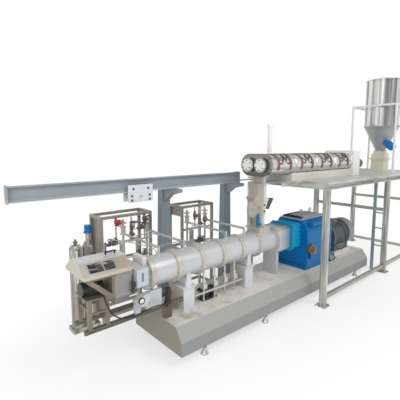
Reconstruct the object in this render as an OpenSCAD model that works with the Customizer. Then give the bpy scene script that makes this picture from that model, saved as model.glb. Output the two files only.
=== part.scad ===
// Fish feed extruder: twin screw barrel, drive and cutter on a skid, with a conditioner
// and meal hopper on a platform, an overhead rail with a trolley, and two valve racks.
// Machine frame while drawing: X along the barrel from the skid's die end, Y = 0 on the
// barrel axis and positive away from the operator, Z up from the floor. Millimetres.

/* [Skid] */
// length of the skid
skid_l = 4940; // [4000:10:6000]
// width of the skid at the floor
skid_w = 1060; // [900:10:1400]
// floor to the underside of the skid
skid_lift = 140; // [90:5:220]
// height of the upright skirt
skid_skirt_h = 172; // [100:2:240]
// height of the sloped shoulder above the skirt
skid_slope_h = 166; // [80:2:240]
// inset of the sloped shoulder
skid_slope_in = 118; // [60:2:200]
// first levelling foot from the skid's end
foot_end = 410; // [200:10:700]
// pitch between the first two levelling feet
foot_pitch = 1220; // [800:10:1500]
// foot inset from the skid's edge
foot_in = 60; // [50:5:120]
// radius of a foot's disc
foot_r = 50; // [35:1:80]

/* [Barrel] */
// height of the barrel axis
axis_z = 1075; // [950:5:1250]
// left face of the first barrel section
barrel_x = -150; // [-300:10:0]
// length of one barrel section
section_l = 400; // [300:10:500]
// number of plain sections before the inlet section
section_n = 5; // [3:1:7]
// radius of a jacket
jacket_r = 187; // [140:1:240]
// radius of a section flange
flange_r = 212; // [170:1:270]
// thickness of one flange
flange_t = 30; // [15:1:50]
// joint gap between neighbouring flanges
flange_gap = 0.4; // [0.3:0.1:1]
// offset of the inlet from the middle of its section
inlet_off = -50; // [-80:5:60]
// radius of the die head's neck
die_r = 165; // [120:1:180]
// length of the die head
die_l = 260; // [160:5:320]
// radius of the die plate
die_plate_r = 190; // [150:1:210]
// thickness of the die plate
die_plate_t = 60; // [30:1:90]
// jacket lines in front of the barrel axis
line_y = 120; // [90:5:150]
// height of the jacket lines above the skid
line_h = 130; // [90:5:180]
// width of the box beside the die head
die_box_w = 150; // [100:5:220]
// height of the box beside the die head
die_box_h = 205; // [120:5:300]
// depth of the box beside the die head
die_box_d = 80; // [60:5:120]

/* [Pedestals] */
// left face of the front pedestal
pedestal_x = 320; // [250:5:450]
// pitch between the pedestals
pedestal_pitch = 1190; // [1000:10:1300]
// size of a pedestal along the barrel
pedestal_l = 185; // [120:5:240]
// size of a pedestal across the barrel
pedestal_w = 320; // [240:5:420]
// height of a pedestal
pedestal_h = 312; // [200:2:360]
// thickness of a pedestal's foot and top plates
pedestal_plate = 16; // [8:1:30]
// overhang of a pedestal's plates
pedestal_lip = 22; // [10:1:50]
// width at the foot of a saddle upright
saddle_foot_w = 110; // [70:5:160]
// width at the head of a saddle upright
saddle_head_w = 44; // [25:1:70]
// thickness of a saddle upright
saddle_t = 24; // [12:1:40]
// height of a saddle upright
saddle_h = 235; // [150:5:300]

/* [Gearbox and motor] */
// length of the lantern between barrel and gearbox
lantern_l = 650; // [500:10:800]
// width across the lantern's flats
lantern_w = 420; // [340:5:520]
// length of the gearbox
gearbox_l = 820; // [600:10:1000]
// width of the gearbox
gearbox_w = 710; // [600:10:760]
// height of the gearbox's upright sides
gearbox_side_h = 670; // [500:5:800]
// height of the sloped shoulder on the gearbox
gearbox_slope_h = 188; // [100:2:260]
// inset of that shoulder
gearbox_slope_in = 120; // [60:2:180]
// height of the gearbox's foot flange
foot_flange_h = 44; // [20:1:60]
// overhang of the gearbox's foot flange
foot_flange_lip = 8; // [4:1:20]
// thickness of the gearbox's top cover
cover_t = 20; // [12:1:40]
// length of the thrust bearing housing
thrust_l = 280; // [200:10:340]
// width of the chamfers along the housing and lantern
soft_edge = 45; // [20:1:70]
// radius of the oil pump
pump_r = 80; // [60:1:100]
// radius of the oil pipes
oil_r = 13; // [8:1:20]
// height of the motor's plinth
plinth_h = 80; // [60:5:85]
// radius of the drive motor
motor_r = 285; // [200:5:340]
// length of the drive motor's finned body
motor_l = 640; // [500:10:900]
// length of the motor's fan cowl
cowl_l = 210; // [120:5:300]
// height of the motor shaft above the skid
motor_h = 352; // [320:2:420]
// number of cooling fins round the motor
fin_n = 40; // [24:2:60]
// gap between gearbox and motor
coupling_l = 280; // [200:10:400]
// radius of the coupling guard
coupling_r = 170; // [120:5:220]

/* [Cutter] */
// length of the cutter hood
hood_l = 550; // [400:10:700]
// width of the hood at its lip
hood_w = 520; // [420:10:640]
// width of the hood's flat top
hood_top_w = 210; // [120:10:300]
// height of the hood's upright lip
hood_lip_h = 30; // [20:1:60]
// height of the hood from lip to top
hood_h = 150; // [120:2:200]
// sheet thickness of the hood
hood_t = 8; // [4:1:12]
// length of the window
window_l = 300; // [200:10:360]
// share of the slope that the window takes
window_part = 0.62; // [0.4:0.02:0.8]
// gap between hood and the frames below it
hood_gap = 5; // [5:1:10]
// length of the knife chamber
chamber_l = 200; // [160:5:320]
// depth of the knife chamber
chamber_h = 280; // [260:5:320]
// wall of the knife chamber
chamber_t = 8; // [4:1:12]
// drop of the discharge funnel
funnel_h = 150; // [100:5:220]
// length of the funnel's outlet
funnel_out = 130; // [90:5:180]
// radius of the cutter motor
cutter_motor_r = 78; // [60:1:100]
// length of the cutter motor
cutter_motor_l = 240; // [180:5:300]
// radius of the knife shaft
knife_shaft_r = 20; // [12:1:30]
// radius swept by the knives
knife_r = 100; // [80:1:104]
// number of knives
knife_n = 4; // [2:1:8]
// side of the stand's square bars
stand_bar = 44; // [30:1:60]
// spread of the stand's legs across the barrel
stand_w = 270; // [220:5:300]
// height of the stand's rails above the floor
stand_z = 620; // [540:5:680]
// radius of the clamp cylinder beside the front pedestal
clamp_r = 42; // [30:1:50]
// height of the clamp cylinder
clamp_h = 180; // [120:5:200]
// radius of the cables
cable_r = 8; // [5:0.5:12]
// radius of the hood's hinge pin
hinge_r = 9; // [6:0.5:14]
// running clearance of the hinge
hinge_play = 0.05; // [0.02:0.01:0.1]

/* [Overhead rail] */
// left end of the rail
rail_x = -1500; // [-2000:10:-1000]
// length of the rail
rail_l = 3670; // [3000:10:4500]
// distance of the rail behind the barrel axis
rail_y = 640; // [500:5:800]
// underside of the rail
rail_z = 2000; // [1800:5:2300]
// height of the rail's section
rail_h = 180; // [140:2:220]
// width of the rail's flanges
rail_w = 100; // [70:2:140]
// thickness of the rail's flanges
rail_flange = 12; // [8:1:18]
// thickness of the rail's web
rail_web = 9; // [5:1:14]
// thickness of the rail's end plates
rail_end_t = 12; // [6:1:20]
// first post's centre line
post_x = 730; // [600:10:900]
// pitch between the posts
post_pitch = 1350; // [1100:10:1500]
// distance of the posts behind the rail
post_back = 220; // [180:5:300]
// width at a post's foot
post_foot_w = 240; // [160:5:320]
// width at a post's head
post_head_w = 140; // [100:5:200]
// depth of a post
post_d = 120; // [80:5:180]
// height of a post's arm
arm_h = 100; // [70:5:140]
// reach of an arm in front of the rail
arm_front = 200; // [100:5:260]
// length of the trolley's plates
trolley_l = 390; // [300:5:460]
// height of the trolley's plates
trolley_h = 240; // [180:5:300]
// thickness of the trolley's plates
trolley_t = 12; // [8:1:20]
// drop of the trolley's plates below the rail
trolley_drop = 140; // [100:5:180]
// centre of the trolley along the rail
trolley_x = 145; // [0:5:300]
// gap between rail flange and trolley plate
trolley_gap = 10; // [5:1:20]
// radius of a trolley wheel
wheel_r = 34; // [25:1:45]
// gap under the trolley wheels
wheel_gap = 0.3; // [0.2:0.1:0.5]
// radius of the lifting eye in the plates
eye_r = 16; // [10:1:24]

/* [Platform] */
// left leg's centre line
leg_x = 2780; // [2600:10:3000]
// length of the bay over the drive
bay_1 = 2420; // [2000:10:2800]
// length of the bay under the hopper
bay_2 = 1960; // [1600:10:2400]
// front legs in front of the barrel axis
leg_front = 750; // [650:10:900]
// rear legs behind the barrel axis
leg_rear = 850; // [700:10:1000]
// side of a leg
leg_w = 90; // [60:2:120]
// top of the deck
deck_z = 2056; // [1900:5:2300]
// thickness of the deck plates
deck_t = 16; // [8:1:30]
// height of the deck's beams
beam_h = 100; // [80:2:160]
// width of the deck's beams
beam_w = 70; // [50:2:90]
// left end of the deck's tongue
tongue_x = 2230; // [2200:5:2600]
// width of the deck's tongue
tongue_w = 560; // [400:10:700]
// overhang of the deck past the last legs
deck_over = 120; // [60:10:300]
// side of a leg's foot plate
plate_w = 180; // [140:5:240]
// thickness of a leg's foot plate
plate_t = 15; // [8:1:25]
// spacing of the holes in a foot plate
plate_hole = 130; // [100:2:180]
// radius of those holes
plate_hole_r = 8; // [5:0.5:12]
// height of the lower rails
lower_z = 110; // [80:5:300]
// height of the middle rail
middle_z = 1300; // [1000:10:1500]
// side of the lower and middle rails
lower_w = 60; // [40:2:80]

/* [Conditioner] */
// left face of the conditioner
cond_x = 1900; // [1800:10:2200]
// length of the conditioner
cond_l = 2660; // [2000:10:3200]
// radius of its rounded sides
cond_r = 166; // [140:2:200]
// distance between its two shafts
cond_pitch = 254; // [180:2:320]
// height of its shafts
cond_z = 2335; // [2280:5:2500]
// thickness of its end flange
cond_flange = 24; // [12:1:40]
// overhang of its end flange
cond_lip = 12; // [6:1:30]
// radius of a bearing hub
hub_r = 116; // [70:1:120]
// radius of a bearing cap
cap_r = 92; // [50:1:100]
// width of a door strap
strap_w = 44; // [25:1:70]
// thickness of a door strap
strap_t = 10; // [6:1:18]
// number of door bays
door_n = 4; // [3:1:7]
// left end of the conditioner's base
base_x = 2545; // [2300:5:2735]
// height of the conditioner's base
base_h = 175; // [120:5:200]
// length of the drive casing
casing_l = 280; // [200:10:400]
// height of the drive casing
casing_h = 500; // [420:5:560]
// radius of the conditioner's motor
cond_motor_r = 110; // [80:5:150]
// radius of the vent pipe
vent_r = 36; // [25:1:50]
// height of the vent pipe
vent_h = 480; // [300:10:600]
// width of the drop chute along the barrel
drop_l = 205; // [160:5:260]
// width of the drop chute across the barrel
drop_w = 170; // [120:5:220]
// reach of the chute's flare
flare_l = 95; // [60:5:120]
// height of the flare above the lower body's foot
flare_h = 300; // [260:5:340]
// reach of the slanted outlet
branch_l = 135; // [100:5:180]
// length of the chute's neck at the barrel
neck_l = 140; // [100:5:180]
// height of the chute's lower body above the barrel's inlet
bypass_h = 190; // [150:5:260]
// reach of the ribbed fan from its hub
fan_r = 275; // [200:5:320]
// thickness of the ribbed fan
fan_t = 36; // [20:1:60]

/* [Hopper] */
// hopper axis along the platform
hopper_x = 6620; // [6200:10:6800]
// radius of the bin
bin_r = 380; // [300:5:450]
// height of the bin's upright wall
bin_h = 1080; // [800:10:1400]
// sheet thickness of the bin
bin_t = 8; // [4:1:12]
// height of the cone
cone_h = 600; // [400:10:700]
// radius at the cone's outlet
cone_out = 110; // [80:5:160]
// height of the feeder below the cone
feeder_h = 480; // [380:10:600]
// side of the feeder box
feeder_w = 300; // [240:10:400]
// radius of the inlet on the lid
inlet_r = 150; // [100:5:200]
// height of the inlet on the lid
inlet_h = 60; // [40:5:100]
// radius of the pipe guard round the bin
guard_r = 24; // [18:1:32]
// height of the pipe guard above the deck
guard_h = 1540; // [1300:10:1700]

/* [Valve racks] */
// left face of the left rack
rack_x = -290; // [-500:10:-200]
// length of the left rack
rack_l = 850; // [700:10:1100]
// gap between the racks
rack_gap = 590; // [500:10:800]
// length of the right rack
rack2_l = 720; // [500:10:800]
// front of the racks behind the barrel axis
rack_y = 950; // [930:10:1100]
// depth of the racks
rack_d = 380; // [300:10:500]
// height of the racks
rack_h = 1630; // [1400:10:1800]
// side of the racks' square tubes
rack_bar = 40; // [30:1:50]
// radius of the two standing tanks
tank_r = 85; // [60:5:100]
// height of the tanks
tank_h = 1190; // [800:10:1300]
// radius of the steam pipes
pipe_r = 17; // [12:1:25]
// radius of a handwheel
handwheel_r = 55; // [40:1:75]

/* [Hidden] */
$fn = 64;
eps = 0.01;
seat = 0.3;
skid_top = skid_lift + skid_skirt_h + skid_slope_h;
barrel_end = barrel_x + section_l * (section_n + 1);
inlet_x = barrel_x + section_l * (section_n + 0.5) + inlet_off;
inlet_z = axis_z + jacket_r + 80;
drop_x0 = inlet_x - drop_l * 0.63;
drop_x1 = drop_x0 + drop_l;
bypass_z = inlet_z + bypass_h;
die_x = barrel_x - die_l;
chamber_r = die_x - die_plate_t;
chamber_x = chamber_r - chamber_l;
chamber_w = hood_w - 60;
hood_x = chamber_r - hood_gap - hood_l;
hood_end = hood_x + hood_l;
frame_z = axis_z + 175;
hood_z = frame_z + hood_gap;
chamber_z = frame_z - chamber_h;
shelf_t = 12;
shelf_z = axis_z - cutter_motor_r - shelf_t;
cutter_motor_x = chamber_x - 60 - cutter_motor_l;
rail_top_z = stand_z + stand_bar;
hinge_y = hood_w / 2 + 22;
hinge_z = hood_z + 14;
knife_x = chamber_r - 20;
pedestal_top = skid_top + pedestal_h;
gearbox_x = barrel_end + lantern_l;
gearbox_end = gearbox_x + gearbox_l;
gearbox_side = skid_top + gearbox_side_h;
gearbox_top = gearbox_side + gearbox_slope_h;
plinth_z = skid_top + plinth_h;
motor_z = skid_top + motor_h;
motor_x = gearbox_end + coupling_l;
rail_end = rail_x + rail_l;
rail_top = rail_z + rail_h;
post_y = rail_y + post_back;
plate_in = rail_w / 2 + trolley_gap;
trolley_z = rail_z - trolley_drop;
wheel_z = rail_z + rail_flange + wheel_gap + wheel_r;
beam_z = deck_z - deck_t - beam_h;
leg_mid = leg_x + bay_1;
leg_end = leg_mid + bay_2;
leg_xs = [leg_x, leg_mid, leg_end];
deck_left = leg_x - leg_w / 2;
deck_right = leg_end + deck_over;
cond_end = cond_x + cond_l;
cond_half = cond_pitch / 2 + cond_r;
door_step = (cond_l - 3 * cond_flange) / door_n;
vent_x = cond_x + 2 * cond_flange + door_step * 0.46;
feeder_top = deck_z + feeder_h;
bin_z = feeder_top + cone_h;
bin_top = bin_z + bin_h;
guard_in = bin_r + 110;
guard_z = deck_z + guard_h;
rack2_x = rack_x + rack_l + rack_gap;
rack_back = rack_y + rack_d;
rack_levels = [120, rack_h * 0.52, rack_h - rack_bar];
front_edge = leg_front + plate_w / 2;
mid_x = (rail_x + deck_right) / 2;
mid_y = (rack_back - front_edge) / 2;

function at_section(i) = barrel_x + section_l * i;

module place() {
  translate([-mid_x, -mid_y, 0]) children();
}

// a box given by two opposite corners
module box(a, b) {
  translate(a) cube([b[0] - a[0], b[1] - a[1], b[2] - a[2]]);
}

// a bar along X, Y or Z from a point
module bar_x(p, l, r) {
  translate(p) rotate([0, 90, 0]) cylinder(h = l, r = r);
}

module bar_y(p, l, r) {
  translate(p) rotate([-90, 0, 0]) cylinder(h = l, r = r);
}

module bar_z(p, l, r) {
  translate(p) cylinder(h = l, r = r);
}

// a profile drawn in (Y, Z) and carried along X
module along_x(x, l) {
  translate([x, 0, 0]) rotate([90, 0, 90]) linear_extrude(l) children();
}

// a profile drawn in (X, Z) and carried along Y
module along_y(y, l) {
  translate([0, y + l, 0]) rotate([90, 0, 0]) linear_extrude(l) children();
}

// skid with upright skirts, sloped shoulders and the motor's two plinths
module skid_base() {
  half = skid_w / 2;
  place() color([0.62, 0.61, 0.58]) {
    along_x(0, skid_l) polygon([
      [-half, skid_lift], [half, skid_lift], [half, skid_lift + skid_skirt_h],
      [half - skid_slope_in, skid_top], [-half + skid_slope_in, skid_top],
      [-half, skid_lift + skid_skirt_h]
    ]);
    for (s = [-1, 1])
      box([motor_x, s * motor_r * 0.7 - 90, skid_top - eps],
          [motor_x + motor_l, s * motor_r * 0.7 + 90, plinth_z]);
  }
}

// one conical foot with its stem
module foot(x, y) {
  translate([x, y, 0]) rotate_extrude() polygon([
    [0, 0], [foot_r, 0], [foot_r, 14], [foot_r * 0.5, 62], [foot_r * 0.3, 72],
    [foot_r * 0.3, skid_lift], [0, skid_lift]
  ]);
}

module levelling_feet() {
  place() color([0.75, 0.75, 0.74])
    for (x = [foot_end, foot_end + foot_pitch, skid_l - foot_end - foot_pitch, skid_l - foot_end])
      for (s = [-1, 1]) foot(x, s * (skid_w / 2 - foot_in));
}

module pedestal(x) {
  half = pedestal_w / 2;
  box([x - pedestal_lip, -half - pedestal_lip, skid_top],
      [x + pedestal_l + pedestal_lip, half + pedestal_lip, skid_top + pedestal_plate]);
  box([x, -half, skid_top], [x + pedestal_l, half, pedestal_top]);
  box([x - pedestal_lip, -half - pedestal_lip, pedestal_top - pedestal_plate],
      [x + pedestal_l + pedestal_lip, half + pedestal_lip, pedestal_top]);
}

module pedestals() {
  place() color([0.66, 0.67, 0.68]) for (i = [0, 1]) pedestal(pedestal_x + pedestal_pitch * i);
}

// cradle web with a tapered upright on each side
module saddle(x) {
  difference() {
    union() {
      for (s = [-1, 1]) translate([x, s * (pedestal_w / 2 - saddle_t / 2), pedestal_top])
        rotate([90, 0, 0]) linear_extrude(saddle_t, center = true) polygon([
          [-saddle_foot_w / 2, 0], [saddle_foot_w / 2, 0],
          [saddle_head_w / 2, saddle_h], [-saddle_head_w / 2, saddle_h]
        ]);
      box([x - saddle_t, -pedestal_w / 2 + saddle_t / 2, pedestal_top],
          [x + saddle_t, pedestal_w / 2 - saddle_t / 2, axis_z]);
    }
    bar_x([x - pedestal_l, 0, axis_z], 2 * pedestal_l, jacket_r + seat);
  }
}

module barrel_saddles() {
  place() color([0.78, 0.79, 0.8])
    for (i = [0, 1]) saddle(pedestal_x + pedestal_l / 2 + pedestal_pitch * i);
}

// jacket with a flange at each end
module section(x) {
  l = section_l - flange_gap;
  bar_x([x, 0, axis_z], l, jacket_r);
  bar_x([x, 0, axis_z], flange_t, flange_r);
  bar_x([x + l - flange_t, 0, axis_z], flange_t, flange_r);
  bar_z([x + section_l / 2, 0, axis_z], jacket_r + 22, 24);
}

// plain sections and the one with the square inlet
module barrel_sections() {
  place() color([0.74, 0.73, 0.7]) {
    for (i = [0 : section_n]) section(at_section(i));
    box([inlet_x - 130, -130, axis_z], [inlet_x + 130, 130, inlet_z - 20]);
    box([inlet_x - 150, -150, inlet_z - 20], [inlet_x + 150, 150, inlet_z]);
  }
}

// neck, clamp ring and die plate
module die_head() {
  place() color([0.7, 0.69, 0.66]) {
    bar_x([die_x, 0, axis_z], die_l - flange_gap, die_r);
    bar_x([die_x, 0, axis_z], 45, flange_r);
    bar_x([barrel_x - flange_gap - flange_t, 0, axis_z], flange_t, flange_r);
    bar_x([chamber_r, 0, axis_z], die_plate_t + eps, die_plate_r);
  }
}

// box with a tall slot beside the die, and the propped cover and panel below it
module die_side_box() {
  x0 = die_x - 30;
  y0 = -flange_r - 8 - die_box_d;
  y1 = y0 + die_box_d;
  z0 = axis_z - 30;
  rail = stand_w / 2;
  place() color([0.68, 0.71, 0.7]) {
    difference() {
      union() {
        box([x0, y0, z0], [x0 + die_box_w, y1, z0 + die_box_h]);
        box([x0 + 90, y1 - eps, axis_z], [x0 + 130, -die_r * 0.6, axis_z + 60]);
      }
      box([x0 + 62, y0 - 1, z0 + 55], [x0 + 88, y0 + 30, z0 + die_box_h - 45]);
      bar_x([x0 - 1, 0, axis_z], die_box_w + 2, die_r + seat);
    }
    along_y(y0, die_box_d) polygon([
      [x0, z0 - 200], [x0 + 170, z0 - 200], [x0 + 170, z0 - 110], [x0 + 110, z0 - 100], [x0, z0 - 145]
    ]);
    box([x0 + 40, y0, z0 - 240], [x0 + 130, -rail + stand_bar / 2, z0 - 200 + eps]);
    box([x0 + 50, -rail - stand_bar / 2, rail_top_z], [x0 + 120, -rail + stand_bar / 2, z0 - 240 + eps]);
    box([barrel_x - 90, -rail - stand_bar / 2, rail_top_z],
        [barrel_x + 130, -rail + stand_bar / 2, axis_z - flange_r + 25]);
  }
}

// section with its four edges taken off, about the barrel axis
module soft_square(w) {
  h = w / 2;
  e = soft_edge;
  translate([0, axis_z]) polygon([
    [-h + e, -h], [h - e, -h], [h, -h + e], [h, h - e], [h - e, h], [-h + e, h], [-h, h - e], [-h, -h + e]
  ]);
}

// lantern between barrel and thrust housing, with its round flange and foot
module lantern_housing() {
  l = lantern_l - thrust_l;
  place() color([0.72, 0.75, 0.78]) {
    along_x(barrel_end, l) soft_square(lantern_w);
    bar_x([barrel_end, 0, axis_z], flange_t, flange_r + 40);
    box([barrel_end + 60, -lantern_w / 3, skid_top], [barrel_end + 120, lantern_w / 3, axis_z]);
  }
}

// housing of the thrust bearings, bolted to the gearbox
module thrust_housing() {
  place() color([0.05, 0.5, 0.76]) {
    along_x(gearbox_x - thrust_l, thrust_l) soft_square(lantern_w + 26);
    along_x(gearbox_x - thrust_l, 24) soft_square(lantern_w + 60);
  }
}

module gearbox_profile(lo, hi) {
  half = gearbox_w / 2;
  intersection() {
    polygon([
      [-half, skid_top], [half, skid_top], [half, gearbox_side],
      [half - gearbox_slope_in, gearbox_top], [-half + gearbox_slope_in, gearbox_top], [-half, gearbox_side]
    ]);
    translate([-half, lo]) square([gearbox_w, hi - lo]);
  }
}

// gearbox body with its foot flange
module gearbox_case() {
  half = gearbox_w / 2 + foot_flange_lip;
  place() color([0.07, 0.31, 0.62]) {
    along_x(gearbox_x, gearbox_l) gearbox_profile(skid_top, gearbox_top);
    box([gearbox_x - 40, -half, skid_top], [gearbox_end, half, skid_top + foot_flange_h]);
  }
}

// bolted top cover with a raised lid and two lifting eyes
module gearbox_cover() {
  half = gearbox_w / 2 - gearbox_slope_in - 12;
  z1 = gearbox_top + cover_t;
  place() color([0.72, 0.75, 0.78]) {
    box([gearbox_x + 12, -half, gearbox_top], [gearbox_end - 12, half, z1]);
    box([gearbox_x + 190, -half + 60, z1 - eps], [gearbox_end - 150, half - 90, z1 + 30]);
    for (x = [gearbox_x + 0.4 * gearbox_l, gearbox_x + 0.75 * gearbox_l]) {
      bar_z([x, 0, z1], 52, 20);
      translate([x, 0, z1 + 80]) rotate([90, 0, 0])
        rotate_extrude() translate([30, 0]) circle(r = 10, $fn = 24);
    }
  }
}

// round oil pump on the operator's side, and the oil pipes along the top cover
module oil_pump() {
  x = gearbox_x + 85;
  y0 = -gearbox_w / 2;
  z = skid_top + 360;
  zp = gearbox_top + cover_t + oil_r + seat;
  half = gearbox_w / 2 - gearbox_slope_in - 40;
  place() color([0.6, 0.5, 0.33]) {
    bar_y([x, y0 - 60, z], 60, pump_r);
    bar_y([x, y0 - 105, z], 46, pump_r * 0.72);
    bar_y([x, y0 - 118, z], 14, pump_r * 0.4);
    box([x - 35, y0 - 50, z - 170], [x + 35, y0, z - pump_r + 20]);
    bar_y([gearbox_x + 60, -half, zp], 2 * half, oil_r);
    bar_x([gearbox_x + 60, half, zp], gearbox_l * 0.7, oil_r);
    bar_y([gearbox_x + 120, -half * 0.6, zp], half * 1.6, oil_r);
  }
}

// small oil unit lying on the sloped shoulder
module lube_motor() {
  r = 46;
  a = atan2(gearbox_slope_h, gearbox_slope_in);
  y0 = -gearbox_w / 2 + gearbox_slope_in / 2 - (r + seat) * sin(a);
  z0 = gearbox_side + gearbox_slope_h / 2 + (r + seat) * cos(a);
  x0 = gearbox_x + 130;
  place() color([0.1, 0.38, 0.68]) {
    bar_x([x0, y0, z0], 250, r);
    bar_x([x0 + 250 - eps, y0, z0], 70, r * 0.75);
    bar_z([x0 + 60, y0, z0], 75, 17);
    bar_z([x0 + 190, y0, z0], 75, 17);
  }
}

module coupling_guard() {
  place() color([0.12, 0.12, 0.13]) {
    bar_x([gearbox_end + seat, 0, motor_z], coupling_l - 2 * seat, coupling_r);
    box([gearbox_end + 40, -coupling_r, skid_top], [gearbox_end + coupling_l - 40, coupling_r, motor_z]);
  }
}

// finned motor body with end shields, feet and terminal box
module drive_motor() {
  z1 = motor_z + motor_r;
  place() color([0.25, 0.27, 0.29]) {
    bar_x([motor_x, 0, motor_z], motor_l, motor_r - 26);
    bar_x([motor_x, 0, motor_z], 50, motor_r);
    bar_x([motor_x + motor_l - 40, 0, motor_z], 40, motor_r);
    for (i = [0 : fin_n - 1]) translate([motor_x + 30, 0, motor_z]) rotate([360 / fin_n * i, 0, 0])
      translate([0, -3, 0]) cube([motor_l - 50, 6, motor_r - 6]);
    for (s = [-1, 1]) box([motor_x + 40, s * motor_r * 0.7 - 60, plinth_z],
                          [motor_x + motor_l - 60, s * motor_r * 0.7 + 60, motor_z - motor_r * 0.5]);
    box([motor_x + 60, -motor_r * 0.5, z1 - 70], [motor_x + 320, motor_r * 0.35, z1 + 45]);
  }
}

module motor_fan_cowl() {
  x0 = motor_x + motor_l;
  place() color([0.3, 0.33, 0.36]) difference() {
    union() {
      bar_x([x0, 0, motor_z], cowl_l, motor_r - 10);
      bar_x([x0 + cowl_l - 24, 0, motor_z], 24, motor_r - 24);
    }
    for (r = [70 : 45 : motor_r - 60]) translate([x0 + cowl_l - 12, 0, motor_z]) rotate([0, 90, 0])
      difference() {
        cylinder(h = 20, r = r + 12);
        translate([0, 0, -1]) cylinder(h = 22, r = r - 8);
      }
  }
}

// upright branch with its valve body and actuator
module jacket_branch(x) {
  r = pipe_r * 0.8;
  z = skid_top + line_h;
  bar_z([x, -line_y, skid_top], axis_z - jacket_r * 0.7 - skid_top, r);
  bar_y([x, -line_y - 1, z], line_y / 2 + 2, r);
  box([x - 2 * pipe_r, -line_y - 2 * pipe_r, z + 60], [x + 2 * pipe_r, -line_y + 2 * pipe_r, z + 130]);
  bar_z([x, -line_y, z + 125], 60, 1.5 * pipe_r);
}

// water and steam lines for the jackets, lying between the pedestals
module jacket_manifold() {
  x0 = pedestal_x + pedestal_l;
  x1 = pedestal_x + pedestal_pitch;
  place() color([0.74, 0.74, 0.72]) difference() {
    union() {
      for (y = [-line_y, -line_y / 2]) bar_x([x0, y, skid_top + line_h], x1 - x0, pipe_r);
      for (i = [1 : 4]) jacket_branch(x0 + (x1 - x0) * i / 5);
    }
    bar_x([x0, 0, axis_z], x1 - x0, jacket_r + seat);
  }
}

// two rails that carry the cutter out from the front pedestal
module cutter_rails() {
  half = stand_bar / 2;
  place() color([0.5, 0.47, 0.42]) for (s = [-1, 1]) {
    box([cutter_motor_x - 20, s * stand_w / 2 - half, stand_z],
        [pedestal_x, s * stand_w / 2 + half, stand_z + stand_bar]);
    box([20, s * stand_w / 2 - half - 15, skid_top], [120, s * stand_w / 2 + half + 15, stand_z + eps]);
  }
}

// legs, shelf and the open triangular frames under the hood
module cutter_stand() {
  half = stand_bar / 2;
  xs = [cutter_motor_x + 40, chamber_x - 60];
  z0 = stand_z + stand_bar;
  side = chamber_w / 2;
  place() color([0.6, 0.57, 0.5]) {
    for (x = xs) for (s = [-1, 1])
      box([x - half, s * stand_w / 2 - half, z0], [x + half, s * stand_w / 2 + half, shelf_z]);
    for (s = [-1, 1])
      box([xs[0], s * stand_w / 2 - half / 2, z0 + 150],
          [xs[1], s * stand_w / 2 + half / 2, z0 + 150 + half]);
    box([xs[0] - half / 2, -stand_w / 2, z0 + 190], [xs[0] + half / 2, stand_w / 2, z0 + 190 + half]);
    box([hood_x + 60, -stand_w / 2 - half, shelf_z], [chamber_x, stand_w / 2 + half, shelf_z + shelf_t]);
    for (s = [-1, 1]) along_y(s < 0 ? -side : side - 8, 8) difference() {
      polygon([[hood_x + 6, frame_z], [chamber_x, frame_z], [chamber_x, shelf_z], [chamber_x - 60, shelf_z]]);
      polygon([[hood_x + 105, frame_z - 26], [chamber_x - 34, frame_z - 26], [chamber_x - 34, shelf_z + 48]]);
    }
  }
}

// open topped chamber round the knives, bolted to the die plate
module knife_chamber() {
  side = chamber_w / 2;
  t = chamber_t;
  place() color([0.72, 0.68, 0.6]) difference() {
    union() {
      box([chamber_x, -side, chamber_z], [chamber_r, side, frame_z]);
      box([chamber_x, -side - 14, frame_z - 14], [chamber_r, side + 14, frame_z]);
    }
    box([chamber_x + t, -side + t, chamber_z - 1], [chamber_r - t, side - t, frame_z + 1]);
    bar_x([chamber_r - t - 1, 0, axis_z], t + 2, knife_r + 15);
    bar_x([chamber_x - 1, 0, axis_z], t + 2, knife_shaft_r + 8);
    box([chamber_r - t - 1, -knife_r - 15, axis_z], [chamber_r + 1, knife_r + 15, frame_z + 1]);
  }
}

// four sloped sheets under the chamber, open at both ends
module discharge_funnel() {
  t = chamber_t;
  side = chamber_w / 2;
  o = funnel_out / 2;
  xm = chamber_x + chamber_l * 0.65;
  z1 = chamber_z;
  z0 = chamber_z - funnel_h;
  place() color([0.55, 0.49, 0.4]) difference() {
    polyhedron(
      points = [
        [chamber_x, -side, z1], [chamber_r, -side, z1], [chamber_r, side, z1], [chamber_x, side, z1],
        [xm - o, -o, z0], [xm + o, -o, z0], [xm + o, o, z0], [xm - o, o, z0]
      ],
      faces = [[0, 3, 2, 1], [4, 5, 6, 7], [0, 1, 5, 4], [1, 2, 6, 5], [2, 3, 7, 6], [3, 0, 4, 7]]
    );
    polyhedron(
      points = [
        [chamber_x + t, -side + t, z1 + 1], [chamber_r - t, -side + t, z1 + 1],
        [chamber_r - t, side - t, z1 + 1], [chamber_x + t, side - t, z1 + 1],
        [xm - o + t, -o + t, z0 - 1], [xm + o - t, -o + t, z0 - 1],
        [xm + o - t, o - t, z0 - 1], [xm - o + t, o - t, z0 - 1]
      ],
      faces = [[0, 3, 2, 1], [4, 5, 6, 7], [0, 1, 5, 4], [1, 2, 6, 5], [2, 3, 7, 6], [3, 0, 4, 7]]
    );
  }
}

module cutter_motor() {
  x0 = cutter_motor_x;
  place() color([0.16, 0.18, 0.2]) {
    bar_x([x0, 0, axis_z], cutter_motor_l, cutter_motor_r - 8);
    bar_x([x0, 0, axis_z], 60, cutter_motor_r - 2);
    bar_x([x0 + cutter_motor_l - 16, 0, axis_z], 16, cutter_motor_r - 2);
    for (i = [0 : 23]) translate([x0 + 50, 0, axis_z]) rotate([15 * i, 0, 0])
      translate([0, -2, 0]) cube([cutter_motor_l - 60, 4, cutter_motor_r - 3]);
    box([x0 + 70, -60, axis_z - cutter_motor_r], [x0 + 180, 60, axis_z - cutter_motor_r * 0.6]);
    box([x0 + 135, -cutter_motor_r - 24, axis_z - 35], [x0 + 205, -cutter_motor_r * 0.6, axis_z + 35]);
  }
}

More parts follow.
